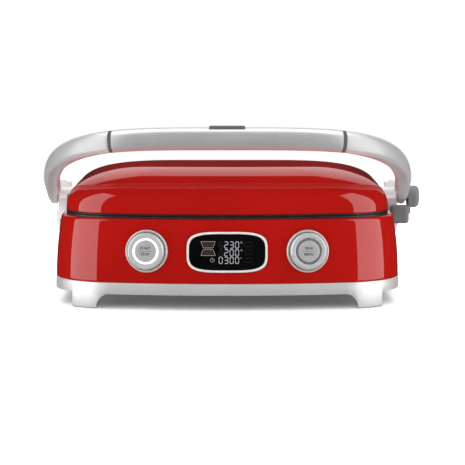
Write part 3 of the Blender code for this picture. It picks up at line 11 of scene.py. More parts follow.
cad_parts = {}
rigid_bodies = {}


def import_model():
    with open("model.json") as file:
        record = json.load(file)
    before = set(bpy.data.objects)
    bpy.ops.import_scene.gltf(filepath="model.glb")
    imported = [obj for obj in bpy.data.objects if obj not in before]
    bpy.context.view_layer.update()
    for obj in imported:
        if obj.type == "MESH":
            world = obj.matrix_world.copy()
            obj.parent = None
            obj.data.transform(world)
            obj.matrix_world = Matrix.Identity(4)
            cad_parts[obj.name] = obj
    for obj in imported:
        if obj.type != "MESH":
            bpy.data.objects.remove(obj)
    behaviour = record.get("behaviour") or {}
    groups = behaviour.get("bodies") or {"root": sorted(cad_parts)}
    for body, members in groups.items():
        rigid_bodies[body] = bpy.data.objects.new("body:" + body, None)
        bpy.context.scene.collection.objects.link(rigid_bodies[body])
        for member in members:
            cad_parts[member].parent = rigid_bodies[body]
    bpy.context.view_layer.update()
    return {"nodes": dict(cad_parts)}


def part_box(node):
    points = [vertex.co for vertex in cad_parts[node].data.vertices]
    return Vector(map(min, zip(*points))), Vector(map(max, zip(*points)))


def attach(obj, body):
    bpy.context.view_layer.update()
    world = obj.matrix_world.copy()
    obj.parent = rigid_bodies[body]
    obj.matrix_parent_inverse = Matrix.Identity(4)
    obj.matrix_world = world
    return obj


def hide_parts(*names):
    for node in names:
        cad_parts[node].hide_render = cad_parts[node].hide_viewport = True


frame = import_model()

bl_info = {
    "name": "Contact grill",
    "version": (1, 0, 0),
    "blender": (4, 5, 0),
    "location": "3D View > Sidebar > Grill",
    "description": "Builds the finished pieces of a contact grill round its packed frame",
    "category": "Add Mesh",
}

BASE_LOW, BASE_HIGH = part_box("base_shell")
LID_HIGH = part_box("lid_shell")[1]
LID_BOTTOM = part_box("lid_inner_frame")[0].z
SKIRT_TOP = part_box("base_frame")[1].z
SHAFT_LOW, SHAFT_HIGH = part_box("hinge_shaft")
GRIP_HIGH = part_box("handle_grip")[1]
PAD_LOW, PAD_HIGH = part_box("handle_rest_pad")
ORIGIN = Vector(((BASE_LOW.x + BASE_HIGH.x) / 2, BASE_LOW.y, 0.0))
BODY_WIDTH = BASE_HIGH.x - BASE_LOW.x
BODY_DEPTH = BASE_HIGH.y - BASE_LOW.y
HINGE = Vector((0.0, (SHAFT_LOW.y + SHAFT_HIGH.y) / 2, (SHAFT_LOW.z + SHAFT_HIGH.z) / 2)) - ORIGIN
HINGE.x = 0.0
ARM_OUTER_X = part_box("handle_arm_right")[1].x - ORIGIN.x
MILLIMETRE = 0.001

FRONT_BOW_RADIUS = 0.650
FRONT_CORNER_RADIUS = 0.075
REAR_CORNER_RADIUS = 0.014
LEAST_CORNER_RADIUS = 0.004
SKIRT_BOTTOM = 0.0160
BASE_LEAN = 0.0064
BASE_RIM_ROUND = 0.0032
LID_EDGE_INSET = 0.0114
LID_CROWN_INSET = 0.0954
LID_REAR_INSET = 0.066
LID_CROWN_CORNER = 0.046
LID_CROWN_REAR_CORNER = 0.042
LID_FLANK_POWER = 2.7
LID_CROWN_POWER = 1.8
DIAL_X = 0.0856
DIAL_Z = 0.0629
DISPLAY_Z = 0.0623
DIAL_HOLE_RADIUS = 0.0216
GLAND_HOLE_RADIUS = 0.0078
POLISH = 0.000001
REARWARD = Matrix.Rotation(-math.pi / 2, 4, "X")
SIDES = (("left", -1), ("right", 1))
FEET = ("front_left", "front_right", "rear_left", "rear_right")


# Shared geometry

def place(x, y, z):
    """A point given from the housing's front line, on its middle plane, in the frame's axes."""
    return ORIGIN + Vector((x, y, z))


def smooth_table(rows, steps):
    """Rows of numbers made into a smooth run through them all, with steps between each pair."""
    rows = np.array(rows, float)
    ends = np.vstack([2 * rows[0] - rows[1], rows, 2 * rows[-1] - rows[-2]])
    gaps = np.sqrt(np.linalg.norm(np.diff(ends, axis=0), axis=1)) + 1e-9
    knots = np.concatenate([[0.0], np.cumsum(gaps)])
    run = []
    for k in range(1, len(ends) - 2):
        t0, t1, t2, t3 = knots[k - 1:k + 3]
        p0, p1, p2, p3 = ends[k - 1:k + 3]
        for t in np.linspace(t1, t2, steps, endpoint=False):
            a1 = ((t1 - t) * p0 + (t - t0) * p1) / (t1 - t0)
            a2 = ((t2 - t) * p1 + (t - t1) * p2) / (t2 - t1)
            a3 = ((t3 - t) * p2 + (t - t2) * p3) / (t3 - t2)
            b1 = ((t2 - t) * a1 + (t - t0) * a2) / (t2 - t0)
            b2 = ((t3 - t) * a2 + (t - t1) * a3) / (t3 - t1)
            run.append(((t2 - t) * b1 + (t - t1) * b2) / (t2 - t1))
    run.append(rows[-1])
    return [tuple(float(value) for value in row) for row in run]


def arc(centre_x, centre_y, radius, first, last, steps):
    """Points on an arc whose angle runs from straight ahead towards the right."""
    angles = [first + (last - first) * k / steps for k in range(steps + 1)]
    return [(centre_x + radius * math.sin(a), centre_y - radius * math.cos(a)) for a in angles]


def line(start, end, steps):
    return [
        (start[0] + (end[0] - start[0]) * k / steps, start[1] + (end[1] - start[1]) * k / steps)
        for k in range(1, steps)
    ]


def plan(inset, rear_inset=None, corner=None, rear_corner=None):
    """The body's outline seen from above, drawn in by an inset, with evenly spread points."""
    half_width = BODY_WIDTH / 2 - inset
    front = FRONT_BOW_RADIUS - inset
    corner = corner or max(FRONT_CORNER_RADIUS - inset, LEAST_CORNER_RADIUS)
    rear_corner = rear_corner or max(REAR_CORNER_RADIUS - inset, LEAST_CORNER_RADIUS)
    rear = BODY_DEPTH - (inset if rear_inset is None else rear_inset)
    corner_x = half_width - corner
    corner_y = FRONT_BOW_RADIUS - math.sqrt((front - corner) ** 2 - corner_x ** 2)
    turn = math.atan2(corner_x, FRONT_BOW_RADIUS - corner_y)
    right = arc(0.0, FRONT_BOW_RADIUS, front, 0.0, turn, 22)
    right += arc(corner_x, corner_y, corner, turn, math.pi / 2, 20)[1:]
    side_end = (half_width, rear - rear_corner)
    right += line(right[-1], side_end, 14) + [side_end]
    right += arc(half_width - rear_corner, rear - rear_corner, rear_corner, math.pi / 2, math.pi, 8)[1:]
    middle = (0.0, rear)
    right += line(right[-1], middle, 12) + [middle]
    return right + [(-x, y) for x, y in reversed(right[1:-1])]


def level(outline, z):
    return [place(x, y, z) for x, y in outline]


def skin(rings, closed=False, low_cap=True, high_cap=True):
    """A mesh through rings of equally many points."""
    mesh = bmesh.new()
    loops = [[mesh.verts.new(point) for point in points] for points in rings]
    following = loops[1:] + (loops[:1] if closed else [])
    for low, high in zip(loops, following):
        for k in range(len(low)):
            n = (k + 1) % len(low)
            mesh.faces.new((low[k], low[n], high[n], high[k]))
    if not closed and low_cap:
        mesh.faces.new(list(reversed(loops[0])))
    if not closed and high_cap:
        mesh.faces.new(loops[-1])
    return mesh


def lathe(profile, matrix, steps=96):
    """A mesh turned from radius and height pairs about the matrix's Z; radius zero makes a pole."""
    mesh = bmesh.new()
    loops = []
    for radius, height in profile:
        if radius == 0.0:
            loops.append([mesh.verts.new(matrix @ Vector((0.0, 0.0, height)))])
            continue
        angles = [2 * math.pi * k / steps for k in range(steps)]
        loops.append([
            mesh.verts.new(matrix @ Vector((radius * math.cos(a), radius * math.sin(a), height)))
            for a in angles
        ])
    if profile[0][0] > 0.0 and profile[-1][0] > 0.0:
        loops.append(loops[0])
    for low, high in zip(loops, loops[1:]):
        for k in range(steps):
            n = (k + 1) % steps
            corners = [low[k % len(low)], low[n % len(low)], high[n % len(high)], high[k % len(high)]]
            mesh.faces.new(list(dict.fromkeys(corners)))
    return mesh


def rounded(profile, radius, steps=4):
    """Rounds the corners of an open profile by a radius; a third number on a row overrides it."""
    points = [Vector(row[:2]) for row in profile]
    radii = [row[2] if len(row) > 2 else radius for row in profile]
    result = [tuple(points[0])]
    for k in range(1, len(points) - 1):
        before, corner, after = points[k - 1], points[k], points[k + 1]
        reach = min(radii[k], (before - corner).length * 0.49, (after - corner).length * 0.49)
        start = corner + (before - corner).normalized() * reach
        end = corner + (after - corner).normalized() * reach
        for n in range(steps + 1):
            t = n / steps
            result.append(tuple(start * (1 - t) ** 2 + corner * 2 * t * (1 - t) + end * t ** 2))
    result.append(tuple(points[-1]))
    return [tuple(max(value, 0.0) if k == 0 else value for k, value in enumerate(p)) for p in result]


def block(low, high):
    """A box between two corners."""
    low, high = Vector(low), Vector(high)
    mesh = bmesh.new()
    size = Matrix.Diagonal((*(high - low), 1.0))
    bmesh.ops.create_cube(mesh, size=1.0, matrix=Matrix.Translation((low + high) / 2) @ size)
    return mesh


def bar(radius, start, end, steps=48):
    """A round bar between two points."""
    start, end = Vector(start), Vector(end)
    turn = (end - start).to_track_quat("Z", "Y").to_matrix().to_4x4()
    mesh = bmesh.new()
    bmesh.ops.create_cone(
        mesh, cap_ends=True, segments=steps, radius1=radius, radius2=radius,
        depth=(end - start).length, matrix=Matrix.Translation((start + end) / 2) @ turn,
    )
    return mesh


def linked(name, data):
    """An object in the scene that holds some data."""
    item = bpy.data.objects.new(name, data)
    bpy.context.scene.collection.objects.link(item)
    return item


def baked(name, mesh):
    data = bpy.data.meshes.new(name)
    mesh.to_mesh(data)
    mesh.free()
    return linked(name, data)


def raw(name, mesh):
    """An object from a mesh whose faces are turned outwards."""
    bmesh.ops.recalc_face_normals(mesh, faces=mesh.faces)
    return baked(name, mesh)


def node_space(name):
    """The low and high corners of a CAD node's box, and its middle."""
    low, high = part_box(name)
    return low, high, (low + high) / 2


def settle(item):
    """Turns an object's modifiers into plain mesh."""
    bpy.context.view_layer.update()
    shape = item.evaluated_get(bpy.context.evaluated_depsgraph_get())
    data = bpy.data.meshes.new_from_object(shape)
    item.modifiers.clear()
    old = item.data
    item.data = data
    bpy.data.meshes.remove(old)
    return item


def combine(item, helpers, operation="DIFFERENCE"):
    """Cuts helper solids from an object, or joins them to it, and removes them."""
    for helper in helpers:
        step = item.modifiers.new(helper.name, "BOOLEAN")
        step.operation = operation
        step.object = helper
        step.solver = "EXACT"
        helper.hide_render = True
    settle(item)
    for helper in helpers:
        bpy.data.objects.remove(helper, do_unlink=True)
    return item


def bevel(item, width, segments=3, angle=35.0):
    step = item.modifiers.new("rounded_edges", "BEVEL")
    step.width = width
    step.segments = segments
    step.limit_method = "ANGLE"
    step.angle_limit = math.radians(angle)
    step.use_clamp_overlap = True
    step.harden_normals = False
    return settle(item)


def softened(node, width, segments=3):
    """A copy of a CAD node, merged and with its edges rounded."""
    mesh = bmesh.new()
    mesh.from_mesh(frame["nodes"][node].data)
    bmesh.ops.remove_doubles(mesh, verts=mesh.verts, dist=MILLIMETRE / 50)
    bmesh.ops.dissolve_limit(mesh, angle_limit=math.radians(1), verts=mesh.verts, edges=mesh.edges)
    return bevel(raw("finished_" + node, mesh), width, segments)


def add(item, body, finish, nodes=(), angle=35.0):
    """Finishes a piece: smooth shading, its material, its body and what it stands for."""
    item.data.shade_smooth()
    item.data.set_sharp_from_angle(angle=math.radians(angle))
    item.data.materials.clear()
    item.data.materials.append(finish)
    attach(item, body)
    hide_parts(*nodes)
    return item


def add_softened(node, width, segments, body, look):
    """A finished piece that is a CAD node with its edges rounded."""
    return add(softened(node, width, segments), body, look, [node])


def base_inset(z):
    """How far the housing's wall stands in from its lower edge at a height, and its lean there."""
    height = BASE_HIGH.z - BASE_LOW.z
    share = (z - BASE_LOW.z) / height
    over = max(z - (BASE_HIGH.z - BASE_RIM_ROUND), 0.0)
    rim = BASE_RIM_ROUND - math.sqrt(max(BASE_RIM_ROUND ** 2 - over ** 2, 0.0))
    return BASE_LEAN * share ** 2 + rim, 2 * BASE_LEAN * share / height


def front_frame(x, z):
    """A frame on the housing's front: its Z is the wall's outward normal and its Y points up."""
    inset, slope = base_inset(z)
    radius = FRONT_BOW_RADIUS - inset
    y = FRONT_BOW_RADIUS - math.sqrt(radius ** 2 - x ** 2)
    across = math.asin(x / radius)
    tilt = math.atan(slope)
    out = Vector((
        math.sin(across) * math.cos(tilt), -math.cos(across) * math.cos(tilt), math.sin(tilt),
    ))
    up = (Vector((0.0, 0.0, 1.0)) - out * out.z).normalized()
    turn = Matrix((up.cross(out), up, out)).transposed().to_4x4()
    return Matrix.Translation(place(x, y, z)) @ turn


# Finishes

def finish(name, colour, roughness, metallic=0.0, **values):
    """A material with a Principled shader, returned with its tree."""
    made = bpy.data.materials.new(name)
    made.use_nodes = True
    shader = made.node_tree.nodes["Principled BSDF"]
    shader.inputs["Base Color"].default_value = (*colour, 1.0)
    shader.inputs["Roughness"].default_value = roughness
    shader.inputs["Metallic"].default_value = metallic
    for socket, value in values.items():
        shader.inputs[socket.replace("_", " ")].default_value = value
    made.diffuse_color = (*colour, 1.0)
    return made


def node(made, kind, **values):
    new = made.node_tree.nodes.new(kind)
    for key, value in values.items():
        if key in new.inputs:
            new.inputs[key].default_value = value
        else:
            setattr(new, key, value)
    return new


def wire(made, source, target):
    made.node_tree.links.new(source, target)


def speckle(made, scale, detail=2.0):
    """Noise on the piece's own coordinates, its scale in waves per metre."""
    where = node(made, "ShaderNodeTexCoord")
    noise = node(made, "ShaderNodeTexNoise", Scale=scale, Detail=detail)
    wire(made, where.outputs["Object"], noise.inputs["Vector"])
    return noise.outputs["Fac"]


def spread(made, source, low, high, start=0.3, end=0.7):
    """Maps noise between two values."""
    step = node(made, "ShaderNodeMapRange")
    for key, value in (("From Min", start), ("From Max", end), ("To Min", low), ("To Max", high)):
        step.inputs[key].default_value = value
    wire(made, source, step.inputs["Value"])
    return step.outputs["Result"]


def tinted(made, source, low, high, start=0.3, end=0.7):
    """Drives the base colour between two colours by noise."""
    ramp = node(made, "ShaderNodeValToRGB")
    ramp.color_ramp.elements[0].position = start
    ramp.color_ramp.elements[1].position = end
    ramp.color_ramp.elements[0].color = (*low, 1.0)
    ramp.color_ramp.elements[1].color = (*high, 1.0)
    wire(made, source, ramp.inputs["Fac"])
    wire(made, ramp.outputs["Color"], made.node_tree.nodes["Principled BSDF"].inputs["Base Color"])


def roughened(made, source, low, high, start=0.3, end=0.7):
    shader = made.node_tree.nodes["Principled BSDF"]
    wire(made, spread(made, source, low, high, start, end), shader.inputs["Roughness"])


def bumped(made, source, depth, strength=1.0, socket="Normal"):
    """Relief of a real depth, in metres."""
    step = node(made, "ShaderNodeBump", Strength=strength, Distance=depth)
    wire(made, source, step.inputs["Height"])
    wire(made, step.outputs["Normal"], made.node_tree.nodes["Principled BSDF"].inputs[socket])


def scaled(colour, factor):
    return tuple(min(value * factor, 1.0) for value in colour)


def enamel(colour, name="red_enamel"):
    """Glossy enamel: a deep even coat with a trace of orange peel."""
    made = finish(name, colour, 0.32, Coat_Weight=1.0, Coat_Roughness=0.025, Coat_IOR=1.5)
    made.node_tree.nodes["Principled BSDF"].inputs["Specular IOR Level"].default_value = 0.0
    tinted(made, speckle(made, 9.0), scaled(colour, 0.94), scaled(colour, 1.05))
    bumped(made, speckle(made, 420.0, 1.0), 0.000006, 0.35, "Coat Normal")
    return made


def satin_metal(name, colour, roughness, metallic, depth=0.000004):
    """Satin lacquered metal with a fine sparkle in its colour and gloss."""
    made = finish(name, colour, roughness, metallic)
    fine = speckle(made, 1500.0, 2.0)
    tinted(made, fine, scaled(colour, 0.93), scaled(colour, 1.06))
    roughened(made, speckle(made, 60.0, 3.0), roughness * 0.88, roughness * 1.15)
    bumped(made, fine, depth, 0.5)
    return made


def moulded(name, colour, roughness=0.5, depth=0.00002):
    """Moulded plastic with a spark-eroded grain."""
    made = finish(name, colour, roughness)
    grain = speckle(made, 2600.0, 2.0)
    tinted(made, speckle(made, 30.0, 4.0), scaled(colour, 0.9), scaled(colour, 1.12))
    roughened(made, grain, roughness * 0.85, min(roughness * 1.2, 1.0))
    bumped(made, grain, depth, 0.5)
    return made


def coated_casting(name, colour):
    """Cast aluminium under a dark non-stick coat with pale specks."""
    made = finish(name, colour, 0.42, 0.25)
    flecks = speckle(made, 1700.0, 1.0)
    tinted(made, flecks, colour, scaled(colour, 5.0), 0.60, 0.72)
    roughened(made, speckle(made, 120.0, 4.0), 0.34, 0.55)
    bumped(made, speckle(made, 900.0, 3.0), 0.00003, 0.6)
    return made


def rubber(name, colour=(0.018, 0.018, 0.019)):
    made = finish(name, colour, 0.85)
    tinted(made, speckle(made, 80.0, 4.0), scaled(colour, 0.8), scaled(colour, 1.5))
    roughened(made, speckle(made, 300.0, 3.0), 0.75, 0.95)
    bumped(made, speckle(made, 1400.0, 2.0), 0.00004, 0.6)
    return made


def bare_steel(name, colour=(0.58, 0.57, 0.55), roughness=0.28):
    """Uncoated steel with a fine drawn grain."""
    made = finish(name, colour, roughness, 1.0)
    fine = speckle(made, 900.0, 3.0)
    tinted(made, fine, scaled(colour, 0.85), scaled(colour, 1.1))
    roughened(made, fine, roughness * 0.8, roughness * 1.4)
    bumped(made, fine, 0.000006, 0.5)
    return made


def dark_glass(name):
    """Smoked glass over the display, deep black with a polished face."""
    colour = (0.0016, 0.0017, 0.0019)
    made = finish(name, colour, 0.06, Coat_Weight=0.3, Coat_Roughness=0.02)
    tinted(made, speckle(made, 40.0, 2.0), scaled(colour, 0.8), scaled(colour, 1.3))
    return made


def glowing(name, colour, strength, body=(0.6, 0.6, 0.62), roughness=0.4):
    """A light guide or a lit segment: pale plastic that gives off its own light."""
    made = finish(name, body, roughness, Emission_Strength=strength)
    made.node_tree.nodes["Principled BSDF"].inputs["Emission Color"].default_value = (*colour, 1.0)
    tinted(made, speckle(made, 500.0, 2.0), scaled(body, 0.9), scaled(body, 1.08))
    return made


def board_laminate(name):
    colour = (0.012, 0.10, 0.045)
    made = finish(name, colour, 0.35, Coat_Weight=0.5)
    tinted(made, speckle(made, 700.0, 5.0), scaled(colour, 0.6), scaled(colour, 1.5), 0.45, 0.55)
    roughened(made, speckle(made, 300.0, 2.0), 0.3, 0.5)
    return made


# What a user would change

LengthProperty = partial(FloatProperty, unit="LENGTH")
ColourProperty = partial(FloatVectorProperty, subtype="COLOR", size=3, min=0.0, max=1.0)


class HousingSettings(bpy.types.PropertyGroup):
    colour: ColourProperty(
        name="Enamel", description="Colour of the lid and the base", default=(0.27, 0.0052, 0.0036),
    )
    skirt_colour: ColourProperty(
        name="Skirt", description="Colour of the skirt and its feet", default=(0.60, 0.60, 0.595),
    )
    wall: LengthProperty(
        name="Wall", description="Thickness of the enamelled shells", default=0.0024, min=0.001, max=0.005,
    )
    rim_round: LengthProperty(
        name="Rim rounding", description="Radius on the shells' open rims",
        default=0.0007, min=0.0, max=0.001,
    )
    skirt_edge: LengthProperty(
        name="Skirt edge", description="Width of the rounding along the skirt's edges",
        default=0.0008, min=0.0, max=0.002,
    )
    foot_inner: LengthProperty(
        name="Foot, inner side", description="Distance of a foot's inner side from the middle",
        default=0.1407,
    )
    foot_outer: LengthProperty(
        name="Foot, outer side", description="Distance of a foot's outer side from the middle",
        default=0.1674,
    )


class HandleSettings(bpy.types.PropertyGroup):
    colour: ColourProperty(
        name="Handle", description="Colour of the handle's bar and arms", default=(0.72, 0.72, 0.72),
    )
    side_power: FloatProperty(
        name="Side fullness", description="Squareness of the bow towards the arms", default=3.95,
    )
    front_power: FloatProperty(
        name="Front fullness", description="Squareness of the bow towards the bar", default=3.4,
    )
    bar_half_depth: LengthProperty(
        name="Bar half depth", description="Half the bar's depth, front to rear", default=0.0100,
    )
    bar_half_height: LengthProperty(
        name="Bar half height", description="Half the bar's height", default=0.0122,
    )
    root_half_width: LengthProperty(
        name="Root half width", description="Half an arm's width beside the hinge", default=0.0055,
    )
    arm_half_width: LengthProperty(
        name="Arm half width", description="Half an arm's width ahead of the hinge", default=0.0089,
    )
    taper_length: LengthProperty(
        name="Taper", description="How far ahead of the hinge an arm starts to round off", default=0.017,
    )
    end_share: FloatProperty(
        name="End width", description="Width of an arm's very end as a share of its root", default=0.35,
    )
    arm_half_height: LengthProperty(
        name="Arm half height", description="Half an arm's height at the hinge", default=0.0089,
    )
    band_x: LengthProperty(
        name="Band", description="Distance of a dark band from the middle", default=0.125,
    )
    band_width: LengthProperty(name="Band width", description="Width of a dark band", default=0.0035)
    band_inset: LengthProperty(
        name="Band inset", description="How far the dark bands lie under the metal", default=0.0003,
    )


class ControlSettings(bpy.types.PropertyGroup):
    metal: ColourProperty(
        name="Dials", description="Colour of the dials' metal", default=(0.44, 0.44, 0.45),
    )
    cap: ColourProperty(name="Caps", description="Colour of the push caps", default=(0.34, 0.34, 0.34))
    glow: FloatProperty(
        name="Lit ring", description="Light that the lit ring gives off", default=0.92, min=0.0,
    )
    left_upper: StringProperty(name="Left, upper", description="Word on the left cap", default="START")
    left_lower: StringProperty(name="Left, lower", description="Word on the left cap", default="STOP")
    right_upper: StringProperty(name="Right, upper", description="Word on the right cap", default="SEAR")
    right_lower: StringProperty(name="Right, lower", description="Word on the right cap", default="MENU")


class DisplaySettings(bpy.types.PropertyGroup):
    width: LengthProperty(name="Width", description="Width over the display's frame", default=0.0860)
    height: LengthProperty(name="Height", description="Height over the display's frame", default=0.0434)
    squareness: FloatProperty(
        name="Squareness", description="Power of the display's round outline", default=3.8,
    )
    frame_width: LengthProperty(name="Frame", description="Width of the metal frame", default=0.0024)
    upper: StringProperty(
        name="Upper plate", description="Degrees shown for the upper plate", default="230",
    )
    lower: StringProperty(
        name="Lower plate", description="Degrees shown for the lower plate", default="200",
    )
    timer: StringProperty(name="Timer", description="Digits shown on the timer's row", default="0300")
    glow: FloatProperty(name="Glow", description="Light that a lit segment gives off", default=0.55)


class PlateSettings(bpy.types.PropertyGroup):
    colour: ColourProperty(
        name="Coat", description="Colour of the plates' non-stick coat", default=(0.016, 0.016, 0.017),
    )
    rib_count: IntProperty(name="Ribs", description="Ribs on each plate", default=21, min=1)
    rib_pitch: LengthProperty(name="Rib pitch", description="Distance between two ribs", default=0.0136)
    rib_width: LengthProperty(name="Rib width", description="Width of a rib at its foot", default=0.0056)
    rib_height: LengthProperty(
        name="Rib height", description="Height of a rib over the plate's floor", default=0.0052,
    )


class StageSettings(bpy.types.PropertyGroup):
    camera_distance: LengthProperty(
        name="Camera distance", description="From the camera to the housing's front line", default=2.067,
    )
    camera_height: LengthProperty(
        name="Camera height", description="The camera's height over the table", default=0.3067,
    )
    camera_side: LengthProperty(
        name="Camera offset", description="The camera's distance to the right of the middle plane",
        default=0.0057,
    )
    camera_pitch: FloatProperty(
        name="Camera pitch", description="How far the camera looks down",
        subtype="ANGLE", default=math.radians(6.16),
    )
    lens: FloatProperty(name="Lens", description="Focal length in millimetres", default=152.0)
    rear_light: FloatProperty(name="Rear light", description="Power of the softbox behind", default=3.8)
    side_light: FloatProperty(name="Side lights", description="Power of each side softbox", default=48.0)
    top_light: FloatProperty(name="Top light", description="Power of the overhead softbox", default=78.0)
    handle_share: FloatProperty(
        name="Handle share", description="Share of the side lights that falls on the handle", default=0.34,
    )
    front_light: FloatProperty(name="Front light", description="Power of the front softbox", default=22.0)
    bar_light: FloatProperty(name="Bar light", description="Power of the handle's softbox", default=20.0)
    fill: FloatProperty(name="Fill", description="Brightness of the studio's walls", default=0.30)
    dark: FloatProperty(name="Dark", description="Brightness of what polished faces mirror", default=0.02)


def settings(group):
    return getattr(bpy.context.scene, "grill_" + group)


# Enamelled shells

def base_rings(flank_steps=18, rim_steps=8):
    rim_start = BASE_HIGH.z - BASE_RIM_ROUND
    heights = [BASE_LOW.z + (rim_start - BASE_LOW.z) * k / flank_steps for k in range(flank_steps)]
    heights += [
        rim_start + BASE_RIM_ROUND * math.sin(math.pi / 2 * k / rim_steps) for k in range(rim_steps + 1)
    ]
    return [level(plan(base_inset(z)[0], rear_inset=0.0), z) for z in heights]


def lid_rings(steps=60):
    """The lid from its edge to its crown, in even steps of how far its wall has turned in."""
    height = LID_HIGH.z - LID_BOTTOM
    edge_corner = FRONT_CORNER_RADIUS - LID_EDGE_INSET
    rings = []
    for k in range(steps + 1):
        turned_in = (k / steps) ** 2
        share = (1 - (1 - turned_in) ** LID_CROWN_POWER) ** (1 / LID_FLANK_POWER)
        corner = edge_corner + (LID_CROWN_CORNER - edge_corner) * turned_in
        rear_corner = REAR_CORNER_RADIUS + (LID_CROWN_REAR_CORNER - REAR_CORNER_RADIUS) * turned_in
        inset = LID_EDGE_INSET + (LID_CROWN_INSET - LID_EDGE_INSET) * turned_in
        outline = plan(inset, turned_in * LID_REAR_INSET, corner, rear_corner)
        rings.append(level(outline, LID_BOTTOM + share * height))
    middle = sum(rings[-1], Vector()) / len(rings[-1])
    rim = rings[-1]
    for shrink in (0.84, 0.66, 0.46, 0.24, 0.06):
        rings.append([middle.lerp(point, shrink) for point in rim])
    return rings


def walled(name, rings, wall, rim_round, high_cap):
    """A shell with an even wall and rounded rims."""
    item = raw(name, skin(rings, low_cap=False, high_cap=high_cap))
    step = item.modifiers.new("wall", "SOLIDIFY")
    step.thickness = wall
    step.offset = -1.0
    settle(item)
    return bevel(item, rim_round, 3, 50.0)


def build_lid_shell():
    house = settings("housing")
    shell = walled("lid_enamel", lid_rings(), house.wall, house.rim_round, True)
    cutters = []
    for side in ("left", "right"):
        low, high, middle = node_space("lid_lug_" + side)
        radius = (high.z - low.z) / 2 + 0.3 * MILLIMETRE
        hole = bar(radius, (low.x, middle.y, middle.z), (high.x, middle.y, middle.z))
        cutters.append(raw("lug_hole_" + side, hole))
    low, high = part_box("plate_release_upper")
    inset = 2.2 * MILLIMETRE
    hole = block(
        (low.x, low.y + inset / 2, low.z + inset / 2), (high.x, high.y - inset / 2, high.z - inset / 2),
    )
    cutters.append(bevel(raw("release_hole_upper", hole), 1.6 * MILLIMETRE))
    combine(shell, cutters)
    add(shell, "lid", enamel(house.colour, "lid_red_enamel"), ["lid_shell"])


def build_base_shell():
    house = settings("housing")
    rings = base_rings()
    lip = 24.0 * MILLIMETRE
    for inset, drop in ((0.55, 0.0), (0.9, 0.0), (1.0, 0.0016), (1.0, 0.008)):
        rings.append(level(plan(lip * inset), BASE_HIGH.z - drop))
    shell = walled("base_enamel", rings, house.wall, house.rim_round, False)
    through = 0.006
    cutters = []
    for side, x in (("left", -DIAL_X), ("right", DIAL_X)):
        turn = front_frame(x, DIAL_Z)
        ends = [turn @ Vector((0.0, 0.0, z)) for z in (-0.008, through)]
        cutters.append(raw("dial_hole_" + side, bar(DIAL_HOLE_RADIUS, *ends, 96)))
    spigot = settings("display").frame_width - 1.4 * MILLIMETRE
    cutters.append(raw("display_hole", skin([display_ring(spigot, -0.008), display_ring(spigot, through)])))
    low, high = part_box("drip_tray")
    flange, lap = 0.0054, 0.0005
    tray_low = (low.x + flange, BASE_HIGH.y - through, low.z + lap)
    tray_high = (high.x - flange, BASE_HIGH.y + through, high.z - lap)
    cutters.append(raw("tray_hole", block(tray_low, tray_high)))
    low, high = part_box("plate_release_lower")
    inset = 1.1 * MILLIMETRE
    hole = block((low.x, low.y + inset, low.z + inset), (high.x, high.y - inset, high.z - inset))
    cutters.append(bevel(raw("release_hole_lower", hole), 1.6 * MILLIMETRE))
    middle = node_space("cord_gland")[2]
    ends = [(middle.x, BASE_HIGH.y + y, middle.z) for y in (-through, through)]
    cutters.append(raw("gland_hole", bar(GLAND_HOLE_RADIUS, *ends)))
    combine(shell, cutters)
    add(shell, "base", enamel(house.colour, "base_red_enamel"), ["base_shell"])


class GRILL_OT_lid(bpy.types.Operator):
    """Build the enamelled lid"""
    bl_idname = "grill.lid"
    bl_label = "Lid"

    def execute(self, context):
        build_lid_shell()
        return {"FINISHED"}


class GRILL_OT_base(bpy.types.Operator):
    """Build the enamelled base with its openings"""
    bl_idname = "grill.base"
    bl_label = "Base"

    def execute(self, context):
        build_base_shell()
        return {"FINISHED"}


# Skirt and feet

def foot_side(sign, inner, outer, top, rail):
    """A foot seen from the front, filleted into the rail on its inner side."""
    fillet_x, sole = 0.1276, 0.0008
    points = [(outer, sole), (outer, top), (fillet_x, top), (fillet_x, rail)]
    for k in range(1, 10):
        angle = math.pi / 2 * k / 10
        points.append((
            fillet_x + (inner - fillet_x) * math.sin(angle) ** 1.15 * 0.96,
            rail - (rail - sole) * (1 - math.cos(angle)) * 0.96,
        ))
    points.append((inner, sole))
    return [(sign * x, z) for x, z in points]


